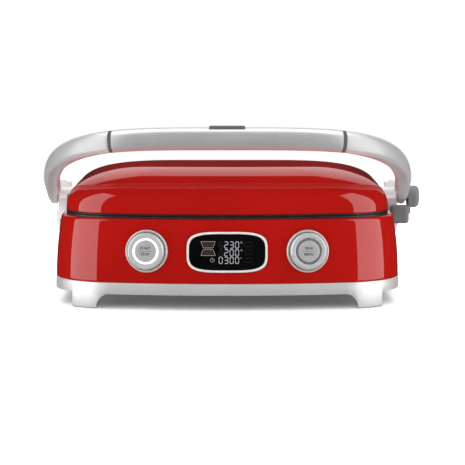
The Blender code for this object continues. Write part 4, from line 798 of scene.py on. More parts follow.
def build_skirt():
    house = settings("housing")
    bottom, top = SKIRT_BOTTOM, SKIRT_TOP
    proud, ring_inset = 0.0005, 0.012
    edge = house.skirt_edge
    item = raw("skirt", skin([
        level(plan(-proud, rear_inset=0.0), bottom), level(plan(-proud, rear_inset=0.0), top - edge),
        level(plan(-proud + edge * 0.3, rear_inset=edge * 0.3), top - edge * 0.3),
        level(plan(-proud + edge, rear_inset=edge), top),
        level(plan(ring_inset), top), level(plan(ring_inset), bottom),
    ], closed=True))
    feet = []
    rear = BODY_DEPTH - ring_inset / 2
    for name in FEET:
        sign = -1 if name.endswith("left") else 1
        start, end = (-0.004, 0.062) if name.startswith("front") else (rear - 0.045, rear)
        side = foot_side(sign, house.foot_inner, house.foot_outer, (bottom + top) / 2, bottom)
        foot = raw("foot_" + name, skin([
            [place(x, start, z) for x, z in side], [place(x, end, z) for x, z in side],
        ]))
        trim = plan(-proud - 0.02 * MILLIMETRE)
        trim = raw("foot_trim", skin([level(trim, -0.004), level(trim, top - 0.002)]))
        combine(foot, [trim], "INTERSECT")
        feet.append(foot)
    combine(item, feet, "UNION")
    pads = []
    for name in FEET:
        low, high, middle = node_space("foot_pad_" + name)
        ends = [(middle.x, middle.y, z) for z in (-0.004, high.z + 0.0003)]
        pads.append(raw("pad_seat", bar((high.x - low.x) / 2 + 0.3 * MILLIMETRE, *ends)))
    combine(item, pads)
    bevel(item, edge, 3, 40.0)
    metal = satin_metal("skirt_silver", house.skirt_colour, 0.42, 0.55)
    add(item, "base", metal, ["base_frame"])
    for name in FEET:
        low, high, middle = node_space("foot_pad_" + name)
        radius = (high.x - low.x) / 2
        profile = rounded([
            (0.0, high.z), (radius, high.z), (radius, 0.0), (radius * 0.62, 0.0),
            (radius * 0.55, 0.0005), (0.0, 0.0005),
        ], 0.0006)
        pad = raw("rubber_foot_" + name, lathe(profile, Matrix.Translation((middle.x, middle.y, 0.0)), 48))
        add(pad, "base", rubber("foot_rubber_" + name), ["foot_pad_" + name])


class GRILL_OT_skirt(bpy.types.Operator):
    """Build the silver skirt with its feet and rubber pads"""
    bl_idname = "grill.skirt"
    bl_label = "Skirt and feet"

    def execute(self, context):
        build_skirt()
        return {"FINISHED"}


# Handle

def handle_ahead():
    """From the hinge axis to the middle of the bar, in the model's middle plane."""
    y = (PAD_LOW.y + PAD_HIGH.y) / 2 - ORIGIN.y
    z = GRIP_HIGH.z - settings("handle").bar_half_height
    return Vector((0.0, y - HINGE.y, z - HINGE.z))


def reach_share(angle):
    """How far ahead a place on the handle lies, as a share of the way from the hinge to the bar."""
    return max(math.sin(angle), 0.0) ** (2 / settings("handle").front_power)


def angle_at_reach(share):
    return math.asin(share ** (settings("handle").front_power / 2))


def section_share(angle):
    """How far the section has grown from the arm's towards the bar's."""
    return max(math.sin(angle), 0.0) ** 0.65


def section_half_width(angle):
    """Half the handle's width: slim beside the hinge, full along the arm, widest at the bar."""
    handle = settings("handle")
    share = min(max((reach_share(angle) - 0.09) / 0.16, 0.0), 1.0)
    swell = share * share * (3 - 2 * share)
    arm = handle.root_half_width + (handle.arm_half_width - handle.root_half_width) * swell
    return arm + (handle.bar_half_depth - handle.arm_half_width) * section_share(angle)


def arch_point(angle):
    """A point on the handle's middle line, from the right hinge to the left one."""
    across = math.cos(angle)
    span = ARM_OUTER_X - section_half_width(angle)
    x = span * math.copysign(abs(across) ** (2 / settings("handle").side_power), across)
    return Vector((x, HINGE.y, HINGE.z)) + handle_ahead() * reach_share(angle)


def angle_at(x):
    span = ARM_OUTER_X - settings("handle").arm_half_width
    return math.acos(min(x / span, 1.0) ** (settings("handle").side_power / 2))


def section_shape():
    """The handle's section: full over the top, creased low down on both sides, flat underneath."""
    upper = smooth_table([
        (0.955, -0.66), (0.985, -0.35), (0.965, 0.0), (0.88, 0.36), (0.71, 0.67), (0.45, 0.89),
        (0.2, 0.98), (0.0, 1.0),
    ], 5)
    right = [(0.54, -1.0), (0.60, -0.985), (0.90, -0.735), (0.94, -0.70)] + upper
    left = [(-x, y) for x, y in reversed(right[:-1])]
    return right + left


def handle_section(angle, inset=0.0):
    handle = settings("handle")
    ahead = handle_ahead()
    lean = math.atan2(ahead.z, -ahead.y)
    step = math.pi / 1440
    low, high = max(angle - step, 0.0), min(angle + step, math.pi)
    along = (arch_point(high) - arch_point(low)).normalized()
    turned = min(reach_share(angle) / 0.3, 1.0)
    turned = turned * turned * (3 - 2 * turned)
    if angle < math.pi / 2:
        along = (ahead.normalized() * (1 - turned) + along * turned).normalized()
    share = section_share(angle)
    upright = Vector((0.0, math.sin(lean * (1 - share)), math.cos(lean * (1 - share))))
    side = along.cross(upright).normalized()
    upright = side.cross(along).normalized()
    half_width = section_half_width(angle) - inset
    half_height = handle.arm_half_height + (handle.bar_half_height - handle.arm_half_height) * share - inset
    centre = ORIGIN + arch_point(angle)
    return [centre + side * x * half_width + upright * y * half_height for x, y in section_shape()]


def tapered(points, reach):
    """Draws a ring in towards the arm's inner face where the arm rounds off beside the hinge."""
    handle = settings("handle")
    behind = (handle.taper_length - reach) / (handle.taper_length + handle.arm_half_height)
    behind = min(max(behind, 0.0), 1.0)
    share = handle.end_share + (1 - handle.end_share) * math.sqrt(1 - behind ** 2)
    inner = ORIGIN.x + ARM_OUTER_X - handle.root_half_width * 2
    return [Vector((inner + (p.x - inner) * share, p.y, p.z)) for p in points] if behind > 0.0 else points


def arm_rings(last):
    """The right arm from its rounded end behind the hinge axis up to an angle of the arch."""
    handle = settings("handle")
    length = handle_ahead().length
    ahead = handle_ahead().normalized()
    root = handle_section(0.0)
    centre = ORIGIN + arch_point(0.0)
    rings = []
    for k in range(14, 0, -1):
        turn = math.pi / 2 * 0.985 * k / 14
        reach = -handle.arm_half_height * math.sin(turn)
        points = []
        for point in root:
            out = point - centre
            flat = Vector((out.x, out.y * math.cos(turn), out.z * math.cos(turn)))
            points.append(centre + flat + ahead * reach)
        rings.append(tapered(points, reach))
    near = angle_at_reach(0.12)
    for k in range(13):
        reach = length * 0.12 * k / 12
        rings.append(tapered(handle_section(angle_at_reach(reach / length)), reach))
    return rings + [handle_section(near + (last - near) * k / 64) for k in range(1, 65)]


def mirrored(rings):
    return [[Vector((2 * ORIGIN.x - p.x, p.y, p.z)) for p in points] for points in rings]


def build_handle():
    handle = settings("handle")
    band_x, half_band, gap, edge = handle.band_x, handle.band_width / 2, 0.0002, 0.0003
    silver = satin_metal("handle_silver", scaled(handle.colour, 1.05), 0.38, 0.72)
    first = angle_at(band_x - half_band - gap)
    last = math.pi - first
    rings = [handle_section(first + (last - first) * k / 96) for k in range(97)]
    grip = raw("handle_bar", skin(rings))
    margin = Vector((0.0004, 0.0004, 0.0))
    seat = bevel(raw("pad_seat", block(PAD_LOW - margin, PAD_HIGH + margin)), 0.0015, 3)
    combine(grip, [seat])
    bevel(grip, edge, 2, 50.0)
    add(grip, "lid", silver, ["handle_grip"], 30.0)
    start = angle_at(band_x + half_band + gap)
    for side, sign in SIDES:
        rings = arm_rings(start)
        if sign < 0:
            rings = mirrored(rings)
        arm = raw("handle_side_" + side, skin(rings))
        if sign > 0:
            axis = place(ARM_OUTER_X, HINGE.y, HINGE.z)
            reach = Vector((handle.root_half_width * 2 + 0.003, 0.0, 0.0))
            hole = bar(0.0052, axis - reach, axis + Vector((0.003, 0.0, 0.0)))
            combine(arm, [raw("shaft_hole", hole)])
        bevel(arm, edge, 2, 50.0)
        add(arm, "lid", satin_metal("arm_silver_" + side, handle.colour, 0.38, 0.55),
            ["handle_arm_" + side], 30.0)
        near, far = angle_at(band_x + half_band), angle_at(band_x - half_band)
        rings = [handle_section(near + (far - near) * k / 4, handle.band_inset) for k in range(5)]
        if sign < 0:
            rings = mirrored(rings)
        band = raw("handle_joint_" + side, skin(rings))
        add(band, "lid", moulded("band_grey_" + side, (0.07, 0.07, 0.073), 0.6),
            ["handle_band_" + side], 30.0)
        boss_low, boss_high, middle = node_space("lid_lug_" + side)
        turn = Matrix.Translation((boss_low.x if sign > 0 else boss_high.x, middle.y, middle.z))
        turn = turn @ Matrix.Rotation(sign * math.pi / 2, 4, "Y")
        width = boss_high.x - boss_low.x
        radius = (boss_high.z - boss_low.z) / 2
        profile = rounded([(0.0, 0.0), (radius, 0.0), (radius, width), (0.0, width)], 0.0008)
        silver = satin_metal("boss_silver_" + side, scaled(handle.colour, 1.15), 0.36, 0.15)
        boss = raw("lid_boss_" + side, lathe(profile, turn, 64))
        add(boss, "lid", silver, ["lid_lug_" + side])
    dark = moulded("rest_pad_dark", (0.075, 0.075, 0.078), 0.6)
    add_softened("handle_rest_pad", 0.0004, 2, "lid", dark)


class GRILL_OT_handle(bpy.types.Operator):
    """Build the bowed handle with its arms, bands, bosses and rest pad"""
    bl_idname = "grill.handle"
    bl_label = "Handle"

    def execute(self, context):
        build_handle()
        return {"FINISHED"}


# Dials and push caps

def lettering(name, text, size, centre, turn):
    """A word as thin raised mesh, centred on a point of a frame's XY plane."""
    curve = bpy.data.curves.new(name, "FONT")
    curve.body = text
    curve.size = size
    curve.align_x = "CENTER"
    curve.align_y = "CENTER"
    curve.extrude = 0.03 * MILLIMETRE
    curve.offset = size * 0.03
    word = linked(name, curve)
    bpy.context.view_layer.update()
    data = bpy.data.meshes.new_from_object(word.evaluated_get(bpy.context.evaluated_depsgraph_get()))
    bpy.data.objects.remove(word, do_unlink=True)
    data.transform(turn @ Matrix.Translation(centre))
    return linked(name, data)


def turned(name, rows, radius, steps, turn, count):
    """A turned piece on the front, from a profile and an edge rounding in millimetres."""
    rows = [tuple(value * MILLIMETRE for value in row) for row in rows]
    return raw(name, lathe(rounded(rows, radius * MILLIMETRE, steps), turn, count))


def build_dials():
    controls = settings("controls")
    mm = MILLIMETRE
    words = {
        "left": (controls.left_upper, controls.left_lower),
        "right": (controls.right_upper, controls.right_lower),
    }
    for side, x, lit in (("left", -DIAL_X, True), ("right", DIAL_X, False)):
        turn = front_frame(x, DIAL_Z)
        item = turned("dial_collar_" + side, [
            (20.2, -8.0), (21.3, -8.0), (21.3, -0.1), (22.75, -0.1, 0.0), (22.75, 1.7), (22.1, 2.75),
            (20.75, 2.75), (20.25, 2.2), (20.2, -7.9, 0.0),
        ], 0.5, 4, turn, 128)
        metal = satin_metal("collar_satin_" + side, (0.56, 0.53, 0.50), 0.24, 0.45, POLISH)
        add(item, "base", metal, ["dial_bezel_" + side])
        item = turned("dial_knob_" + side, [
            (13.9, -7.9), (19.7, -7.9), (19.7, 7.3, 1.0), (17.9, 9.55, 1.3), (14.5, 8.95, 0.35),
            (13.9, 8.4, 0.3), (13.9, -7.8, 0.0),
        ], 0.4, 6, turn, 128)
        metal = satin_metal("dial_satin_" + side, controls.metal, 0.30, 0.35, POLISH)
        add(item, side + "_dial", metal, ["dial_" + side])
        item = turned("light_guide_" + side, [
            (11.9, -7.9), (13.5, -7.9), (13.5, 8.75), (11.9, 8.75), (11.9, -7.8, 0.0),
        ], 0.25, 4, turn, 96)
        if lit:
            look = glowing("ring_lit", (1.0, 1.0, 1.0), controls.glow)
        else:
            look = glowing("ring_dark", (1.0, 1.0, 1.0), 0.0, (0.115, 0.118, 0.118), 0.35)
        add(item, "base", look, ["light_ring_" + side])
        item = turned("push_cap_" + side, [
            (0.0, 9.7), (9.2, 9.7, 2.0), (11.6, 9.2, 0.7), (11.6, 5.8), (4.5, 5.8), (4.5, -6.3),
            (0.0, -6.3),
        ], 0.3, 5, turn, 96)
        metal = satin_metal("cap_satin_" + side, controls.cap, 0.38, 0.3, POLISH)
        add(item, side + "_button", metal, ["button_" + side])
        marks = [
            lettering(name, word, 3.9 * mm, Vector((0.0, y * mm, 9.72 * mm)), turn)
            for name, word, y in zip(("upper", "lower"), words[side], (3.1, -3.3))
        ]
        rule = raw("rule", block((-7.4 * mm, -0.16 * mm, 9.68 * mm), (7.4 * mm, 0.16 * mm, 9.75 * mm)))
        rule.data.transform(turn)
        marks.append(rule)
        ink = moulded("cap_ink_" + side, (0.045, 0.045, 0.05), 0.6, 0.000002)
        add(joined("cap_marks_" + side, marks), side + "_button", ink)


def joined(name, items):
    """Several objects' meshes as one object."""
    mesh = bmesh.new()
    for item in items:
        mesh.from_mesh(item.data)
        bpy.data.objects.remove(item, do_unlink=True)
    return baked(name, mesh)


class GRILL_OT_dials(bpy.types.Operator):
    """Build both dials with their collars, light guides and push caps"""
    bl_idname = "grill.dials"
    bl_label = "Dials"

    def execute(self, context):
        build_dials()
        return {"FINISHED"}


# Display

def display_point(x, y, depth):
    """A point over the display's face, bowed with the housing's front."""
    return front_frame(0.0, DISPLAY_Z) @ Vector((x, y, depth - x ** 2 / (2 * FRONT_BOW_RADIUS)))


def display_ring(inset, depth, count=128, shrink=1.0):
    display = settings("display")
    power = 2 / display.squareness
    points = []
    for k in range(count):
        angle = 2 * math.pi * (k + 0.5) / count
        across, up = math.cos(angle), math.sin(angle)
        x = math.copysign(abs(across) ** power, across) * (display.width / 2 - inset) * shrink
        y = math.copysign(abs(up) ** power, up) * (display.height / 2 - inset) * shrink
        points.append(display_point(x, y, depth))
    return points


SEGMENTS = {
    "0": "abcdef", "1": "bc", "2": "abged", "3": "abgcd", "4": "fgbc",
    "5": "afgcd", "6": "afgecd", "7": "abc", "8": "abcdefg", "9": "abcdfg",
}


def segment_lines(left, bottom, width, height):
    """The seven strokes of a digit, each from one end to the other."""
    right, top, middle = left + width, bottom + height, bottom + height / 2
    return {
        "a": ((left, top), (right, top)), "b": ((right, middle), (right, top)),
        "c": ((right, bottom), (right, middle)), "d": ((left, bottom), (right, bottom)),
        "e": ((left, bottom), (left, middle)), "f": ((left, middle), (left, top)),
        "g": ((left, middle), (right, middle)),
    }


def patch(mesh, outline, depth):
    """A thin filled outline on the display's face."""
    rings = [
        [mesh.verts.new(display_point(x, y, d)) for x, y in outline] for d in (depth - 0.0001, depth)
    ]
    for k in range(len(outline)):
        n = (k + 1) % len(outline)
        mesh.faces.new((rings[0][k], rings[0][n], rings[1][n], rings[1][k]))
    mesh.faces.new(rings[1])
    mesh.faces.new(list(reversed(rings[0])))


def stroke(mesh, start, end, width, depth, trim=0.0):
    """A thin bar with pointed ends on the display's face."""
    start, end = Vector(start), Vector(end)
    along = (end - start).normalized()
    side = Vector((-along.y, along.x)) * width / 2
    start, end = start + along * trim, end - along * trim
    patch(mesh, [
        start, start + along * width / 2 + side, end - along * width / 2 + side,
        end, end - along * width / 2 - side, start + along * width / 2 - side,
    ], depth)


def build_display():
    display = settings("display")
    mm = MILLIMETRE
    width = display.frame_width
    rim = raw("display_frame", skin([display_ring(inset, height * mm) for inset, height in (
        (width, -6), (width - 0.8 * mm, -6), (width - 0.8 * mm, -0.1), (0.0, -0.1), (0.0, 1.1),
        (0.15 * mm, 1.65), (0.5 * mm, 2.05), (1.0 * mm, 2.2), (width - 0.7 * mm, 2.2),
        (width - 0.2 * mm, 2.0), (width, 1.5),
    )], closed=True))
    metal = satin_metal("display_satin", (0.62, 0.59, 0.56), 0.26, 0.2, POLISH)
    add(rim, "base", metal, ["display_bezel"])
    inner = width + 0.15 * mm
    face = 1.2 * mm
    rings = [display_ring(inner, face - 3 * mm), display_ring(inner, face - 0.3 * mm)]
    rings += [display_ring(inner + 0.1 * mm, face - 0.08 * mm), display_ring(inner + 0.35 * mm, face)]
    rings += [display_ring(inner + 0.35 * mm, face, shrink=share) for share in (0.9, 0.7, 0.45, 0.2, 0.05)]
    glass = raw("display_glass", skin(rings))
    add(glass, "base", dark_glass("display_smoked_glass"), ["display_window"])

    pixel = 1.058 * mm
    centre_x, centre_y = 227.2, 252.2

    def at(x, y):
        return ((x - centre_x) * pixel, (centre_y - y) * pixel)

    lit, dim, warm, pale = bmesh.new(), bmesh.new(), bmesh.new(), bmesh.new()
    depth = face + 0.06 * mm
    digit = (3.3 * pixel, 6.3 * pixel)
    pitch, thick, trim = 5.45 * pixel, 0.66 * pixel, 0.18 * pixel
    rows = ((display.upper, 0, 248.0), (display.lower, 0, 255.8), (display.timer, 1, 263.4))
    for digits, lead, row in rows:
        first_x, bottom = at(224.6, row)
        for k, character in enumerate(digits):
            strokes = segment_lines(first_x + (k - lead) * pitch, bottom, *digit)
            for key, ends in strokes.items():
                if key in SEGMENTS.get(character, ""):
                    stroke(lit, *ends, thick, depth, trim)
        top = bottom + digit[1]
        if lead:
            mark_x = first_x + 3 * pitch + 0.2 * pixel
            stroke(pale, (mark_x, top), (mark_x, top - 1.6 * pixel), 0.5 * pixel, depth)
            continue
        for ends in segment_lines(first_x - pitch, bottom, *digit).values():
            stroke(dim, *ends, thick, depth, trim)
        degree = segment_lines(first_x + 3 * pitch, top - 1.4 * pixel, 1.2 * pixel, 1.4 * pixel)
        for key in "abcdef":
            stroke(pale, *degree[key], 0.4 * pixel, depth)
    for corners in (
        (at(200.9, 241.4), at(215.3, 241.4), at(212.9, 247.7), at(203.4, 247.7)),
        (at(203.4, 249.2), at(212.9, 249.2), at(215.3, 255.4), at(200.9, 255.4)),
    ):
        for k in range(4):
            stroke(pale, corners[k], corners[(k + 1) % 4], 0.42 * pixel, depth)
        middle = sum((Vector(c) for c in corners), Vector((0.0, 0.0))) / 4
        patch(warm, [tuple(middle.lerp(Vector(c), 0.80)) for c in reversed(corners)], depth)
    clock = at(212.3, 260.1)
    circle = [
        (clock[0] + 2.05 * pixel * math.cos(a), clock[1] + 2.05 * pixel * math.sin(a))
        for a in (2 * math.pi * k / 20 for k in range(20))
    ]
    for k in range(20):
        stroke(pale, circle[k], circle[(k + 1) % 20], 0.6 * pixel, depth)
    stroke(pale, clock, (clock[0], clock[1] + 1.4 * pixel), 0.45 * pixel, depth)
    stroke(pale, clock, (clock[0] + 1.0 * pixel, clock[1]), 0.45 * pixel, depth)
    for y in (244.2, 251.7, 260.2):
        left, low = at(245.2, y + 2.2)
        for ends in (((0, 0), (7, 0)), ((0, 0), (0, 4.2)), ((7, 0), (7, 4.2)), ((0, 4.2), (7, 4.2))):
            start, end = [(left + px * pixel, low + py * pixel) for px, py in ends]
            stroke(dim, start, end, 0.4 * pixel, depth)
    for name, mesh, colour, strength in (
        ("display_digits", lit, (0.93, 0.95, 1.0), display.glow),
        ("display_ghosts", dim, (0.8, 0.9, 1.0), 0.010),
        ("display_plate_fills", warm, (1.0, 0.42, 0.36), 0.035),
        ("display_icons", pale, (1.0, 0.88, 0.84), 0.40),
    ):
        light = glowing(name + "_light", colour, strength, (0.006, 0.006, 0.006), 0.3)
        add(raw(name, mesh), "base", light)


class GRILL_OT_display(bpy.types.Operator):
    """Build the display's frame, glass, digits and symbols"""
    bl_idname = "grill.display"
    bl_label = "Display"

    def execute(self, context):
        build_display()
        return {"FINISHED"}


# Cooking plates

def repeated_along_x(name, source, pitch, count, first, finish_used):
    """Repeats a mesh along X with Geometry Nodes and returns the result as plain mesh."""
    tree = bpy.data.node_groups.new(name + "_row", "GeometryNodeTree")
    tree.interface.new_socket("Source", in_out="INPUT", socket_type="NodeSocketObject")
    tree.interface.new_socket("Pitch", in_out="INPUT", socket_type="NodeSocketFloat")
    tree.interface.new_socket("Count", in_out="INPUT", socket_type="NodeSocketInt")
    tree.interface.new_socket("Finish", in_out="INPUT", socket_type="NodeSocketMaterial")
    tree.interface.new_socket("Geometry", in_out="OUTPUT", socket_type="NodeSocketGeometry")
    nodes, links = tree.nodes, tree.links
    given, result = nodes.new("NodeGroupInput"), nodes.new("NodeGroupOutput")
    info = nodes.new("GeometryNodeObjectInfo")
    step = nodes.new("ShaderNodeCombineXYZ")
    row = nodes.new("GeometryNodeMeshLine")
    row.mode = "OFFSET"
    row.inputs["Start Location"].default_value = first
    spread_out = nodes.new("GeometryNodeInstanceOnPoints")
    real = nodes.new("GeometryNodeRealizeInstances")
    paint = nodes.new("GeometryNodeSetMaterial")
    links.new(given.outputs["Source"], info.inputs["Object"])
    links.new(given.outputs["Pitch"], step.inputs["X"])
    links.new(step.outputs["Vector"], row.inputs["Offset"])
    links.new(given.outputs["Count"], row.inputs["Count"])
    links.new(row.outputs["Mesh"], spread_out.inputs["Points"])
    links.new(info.outputs["Geometry"], spread_out.inputs["Instance"])
    links.new(spread_out.outputs["Instances"], real.inputs["Geometry"])
    links.new(real.outputs["Geometry"], paint.inputs["Geometry"])
    links.new(given.outputs["Finish"], paint.inputs["Material"])
    links.new(paint.outputs["Geometry"], result.inputs["Geometry"])
    item = linked(name, bpy.data.meshes.new(name))
    step = item.modifiers.new("row", "NODES")
    step.node_group = tree
    values = {"Source": source, "Pitch": pitch, "Count": count, "Finish": finish_used}
    for socket in tree.interface.items_tree:
        if socket.in_out == "INPUT":
            step[socket.identifier] = values[socket.name]
    settle(item)
    bpy.data.objects.remove(source, do_unlink=True)
    return item


def rib_mesh(length, width, height, facing):
    """One rib with a rounded crest and sloping ends, about its own middle."""
    section = rounded([
        (width / 2, 0.0), (width / 4, height), (0.0, height),
    ], height * 0.2, 4)
    section = section + [(-x, z) for x, z in reversed(section[:-1])]
    rings = []
    for y, share in (
        (-length / 2, 0.0), (-length / 2 + height * 0.35, 0.72), (-length / 2 + height * 0.8, 0.96),
        (-length / 2 + height * 1.3, 1.0), (length / 2 - height * 1.3, 1.0),
        (length / 2 - height * 0.8, 0.96), (length / 2 - height * 0.35, 0.72), (length / 2, 0.0),
    ):
        rings.append([Vector((x, y, facing * (z * max(share, 0.02) - 0.0002))) for x, z in section])
    return skin(rings)


def plate_rings(seat, facing):
    """The plate from its back over the rim and down into its pan."""
    pan, wall, draft = 0.0246, 0.004, 0.003
    back = seat - facing * 0.0081
    rim = seat + facing * 0.0003
    face = rim + facing * 0.0018
    floor = back + facing * 0.004
    cavity = pan + wall
    rows = [
        (pan + 0.0009, back), (pan, back + facing * 0.0009), (pan, rim), (0.0115, rim),
        (0.0115, rim + facing * 0.0012), (0.0117, rim + facing * 0.0016), (0.0123, face),
        (cavity - 0.0006, face), (cavity - 0.0001, face - facing * 0.0002),
        (cavity + 0.0003, face - facing * 0.0007), (cavity + draft - 0.0008, floor + facing * 0.0011),
        (cavity + draft - 0.0002, floor + facing * 0.0003), (cavity + draft + 0.0009, floor),
    ]
    return [level(plan(inset), z) for inset, z in rows], floor, cavity + draft


def build_plates():
    plates = settings("plates")
    for name, body, seat, facing in (
        ("lower", "base", BASE_HIGH.z, 1), ("upper", "lid", LID_BOTTOM, -1),
    ):
        look = coated_casting(name + "_plate_coat", plates.colour)
        rings, floor, cavity = plate_rings(seat, facing)
        plate = raw(name + "_plate", skin(rings))
        channel = 0.013
        front_inset = cavity + channel
        front_y = front_inset + FRONT_BOW_RADIUS
        front_y -= math.sqrt(FRONT_BOW_RADIUS ** 2 - (BODY_WIDTH / 2 - front_inset) ** 2)
        rear_y = BODY_DEPTH - cavity - channel
        if name == "lower":
            y = BODY_DEPTH - cavity - channel / 2
            spout, drain = (
                block(place(-wide, y - deep, floor + low), place(wide, y + deep, floor + high))
                for wide, deep, low, high in (
                    (0.017, 0.0045, -0.018, -0.002), (0.0152, 0.0027, -0.022, 0.003),
                )
            )
            combine(plate, [raw("spout", spout)], "UNION")
            combine(plate, [bevel(raw("drain", drain), 0.0012, 3)])
        add(plate, body, look, [name + "_cooking_plate"], 30.0)
        span = (plates.rib_count - 1) * plates.rib_pitch
        rib = raw("rib", rib_mesh(rear_y - front_y, plates.rib_width, plates.rib_height, facing))
        first = place(-span / 2, (front_y + rear_y) / 2, floor)
        ribs = repeated_along_x(name + "_plate_ribs", rib, plates.rib_pitch, plates.rib_count, first, look)
        add(ribs, body, look, (), 50.0)


class GRILL_OT_plates(bpy.types.Operator):
    """Build both ribbed cooking plates"""
    bl_idname = "grill.plates"
    bl_label = "Cooking plates"

    def execute(self, context):
        build_plates()
        return {"FINISHED"}


# Hinge

def screw_mesh(turn, head, height, shank, length):
    """A domed screw; its cross is cut afterwards."""
    profile = rounded([
        (0.0, height), (head * 0.55, height * 0.9), (head, height * 0.3, head * 0.25), (head, 0.0),
        (shank, 0.0), (shank, -length), (0.0, -length),
    ], 0.0002)
    return lathe(profile, turn, 32)


def cross_cutter(turn, head, height):
    """The cross recess of a screw's head."""
    reach, half = head * 0.52, head * 0.11
    bars = []
    for wide, tall in ((reach, half), (half, reach)):
        item = raw("cross", block((-wide, -tall, height * 0.35), (wide, tall, height * 1.4)))
        item.data.transform(turn)
        bars.append(item)
    return bars


def build_hinge():
    silver = settings("handle").colour
    for side, sign in SIDES:
        satin = satin_metal("bracket_satin_" + side, scaled(silver, 1.15), 0.34, 0.15)
        add_softened("hinge_bracket_" + side, 0.0011, 4, "base", satin)
        dark = moulded("bush_dark_" + side, (0.03, 0.03, 0.032), 0.45)
        add_softened("hinge_bush_" + side, 0.0007, 3, "hinge_carriage", dark)
        for row in ("inner", "outer"):
            name = f"bracket_screw_{side}_{row}"
            low, high, middle = node_space(name)
            head, height, length = (high.x - low.x) / 2, 0.0024, 0.012
            turn = Matrix.Translation((middle.x, high.y - height, middle.z)) @ REARWARD
            screw = raw("screw_" + side + "_" + row, screw_mesh(turn, head, height, head / 2, length))
            combine(screw, cross_cutter(turn, head, height))
            zinc = bare_steel(f"screw_zinc_{side}_{row}", (0.5, 0.5, 0.49), 0.32)
            add(screw, "base", zinc, [name])
    radius = (SHAFT_HIGH.z - SHAFT_LOW.z) / 2
    axis = (SHAFT_LOW + SHAFT_HIGH) / 2
    turn = Matrix.Translation((SHAFT_LOW.x, axis.y, axis.z)) @ Matrix.Rotation(math.pi / 2, 4, "Y")
    length = SHAFT_HIGH.x - SHAFT_LOW.x
    profile = rounded([(0.0, 0.0), (radius, 0.0), (radius, length), (0.0, length)], 0.0006)
    pin = raw("hinge_pin", lathe(profile, turn, 48))
    add(pin, "lid", bare_steel("pin_steel"), ["hinge_shaft"])
    low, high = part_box("hinge_release_lever")
    hub_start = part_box("handle_arm_right")[1].x + 0.0008
    y = ORIGIN.y + HINGE.y
    turn = Matrix.Translation((hub_start, y, HINGE.z)) @ Matrix.Rotation(math.pi / 2, 4, "Y")
    width = high.x - hub_start
    hub_radius = high.z - HINGE.z
    profile = rounded([
        (0.0, width), (hub_radius, width, 0.0096), (hub_radius, 0.0, 0.0012), (0.0, 0.0),
    ], 0.001, 12)
    lever = raw("lever", lathe(profile, turn, 96))
    thumb_top = HINGE.z - 0.0086
    thumb_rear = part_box("hinge_bracket_right")[0].y - 0.0008
    web_low = (hub_start, low.y + 0.004, thumb_top - 0.010)
    web = raw("web", block(web_low, (hub_start + 0.003, y + 0.005, HINGE.z)))
    thumb = raw("thumb", block(low, (hub_start + 0.0012, thumb_rear, thumb_top)))
    bevel(thumb, 0.004, 5)
    combine(lever, [web, thumb], "UNION")
    step = lever.modifiers.new("one_moulding", "REMESH")
    step.mode = "VOXEL"
    step.voxel_size = 0.45 * MILLIMETRE
    step = lever.modifiers.new("blended", "SMOOTH")
    step.factor = 0.5
    step.iterations = 8
    settle(lever)
    bore = bar(radius + 0.0003, (hub_start - 0.003, y, HINGE.z), (hub_start + width - 0.003, y, HINGE.z))
    combine(lever, [raw("bore", bore)])
    grey = moulded("lever_grey", (0.125, 0.125, 0.13), 0.55)
    add(lever, "release_lever", grey, ["hinge_release_lever"], 50.0)


class GRILL_OT_hinge(bpy.types.Operator):
    """Build the hinge brackets, bushes, screws, pin and release lever"""
    bl_idname = "grill.hinge"
    bl_label = "Hinge"

    def execute(self, context):
        build_hinge()
        return {"FINISHED"}


# Tray, buttons, gland and what lies inside

def build_fittings():
    dark = moulded("tray_dark", (0.035, 0.035, 0.037), 0.5)
    add_softened("drip_tray", 0.0006, 3, "tray", dark)
    for name in ("lower", "upper"):
        grey = moulded("release_grey_" + name, (0.125, 0.125, 0.13), 0.5)
        add_softened("plate_release_" + name, 0.0009, 3, name + "_release", grey)
    middle = node_space("cord_gland")[2]
    turn = Matrix.Translation((middle.x, BASE_HIGH.y, middle.z)) @ REARWARD
    profile = [(3.6, -8.4), (7.5, -8.4), (7.5, 0.2), (10.5, 0.2), (10.5, 1.6), (9.6, 2.2), (7.4, 2.3)]
    for k in range(4):
        z = 3.0 + k * 1.25
        profile += [(7.3, z), (6.5, z + 0.15), (6.5, z + 0.6), (7.25, z + 0.75)]
    profile += [(7.1, 8.0), (3.9, 8.0), (3.6, 7.6), (3.6, -8.3)]
    gland = turned("inlet_gland", profile, 0.25, 2, turn, 48)
    add(gland, "base", rubber("gland_rubber", (0.02, 0.02, 0.021)), ["cord_gland"])
    cover = softened("bottom_cover", 0.0004, 2)
    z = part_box("bottom_cover")[0].z
    slot = bevel(raw("slot", block((-0.0012, -0.014, z - 0.004), (0.0012, 0.014, z + 0.004))), 0.0011, 3)
    slots = repeated_along_x("vent_slots", slot, 0.0072, 17, place(-0.0576, 0.062, 0.0), None)
    combine(cover, [slots])
    add(cover, "base", moulded("cover_dark", (0.03, 0.03, 0.032), 0.55), ["bottom_cover"])
    dark = moulded("inner_frame_dark", (0.03, 0.03, 0.032), 0.5)
    add_softened("lid_inner_frame", 0.0004, 2, "lid", dark)


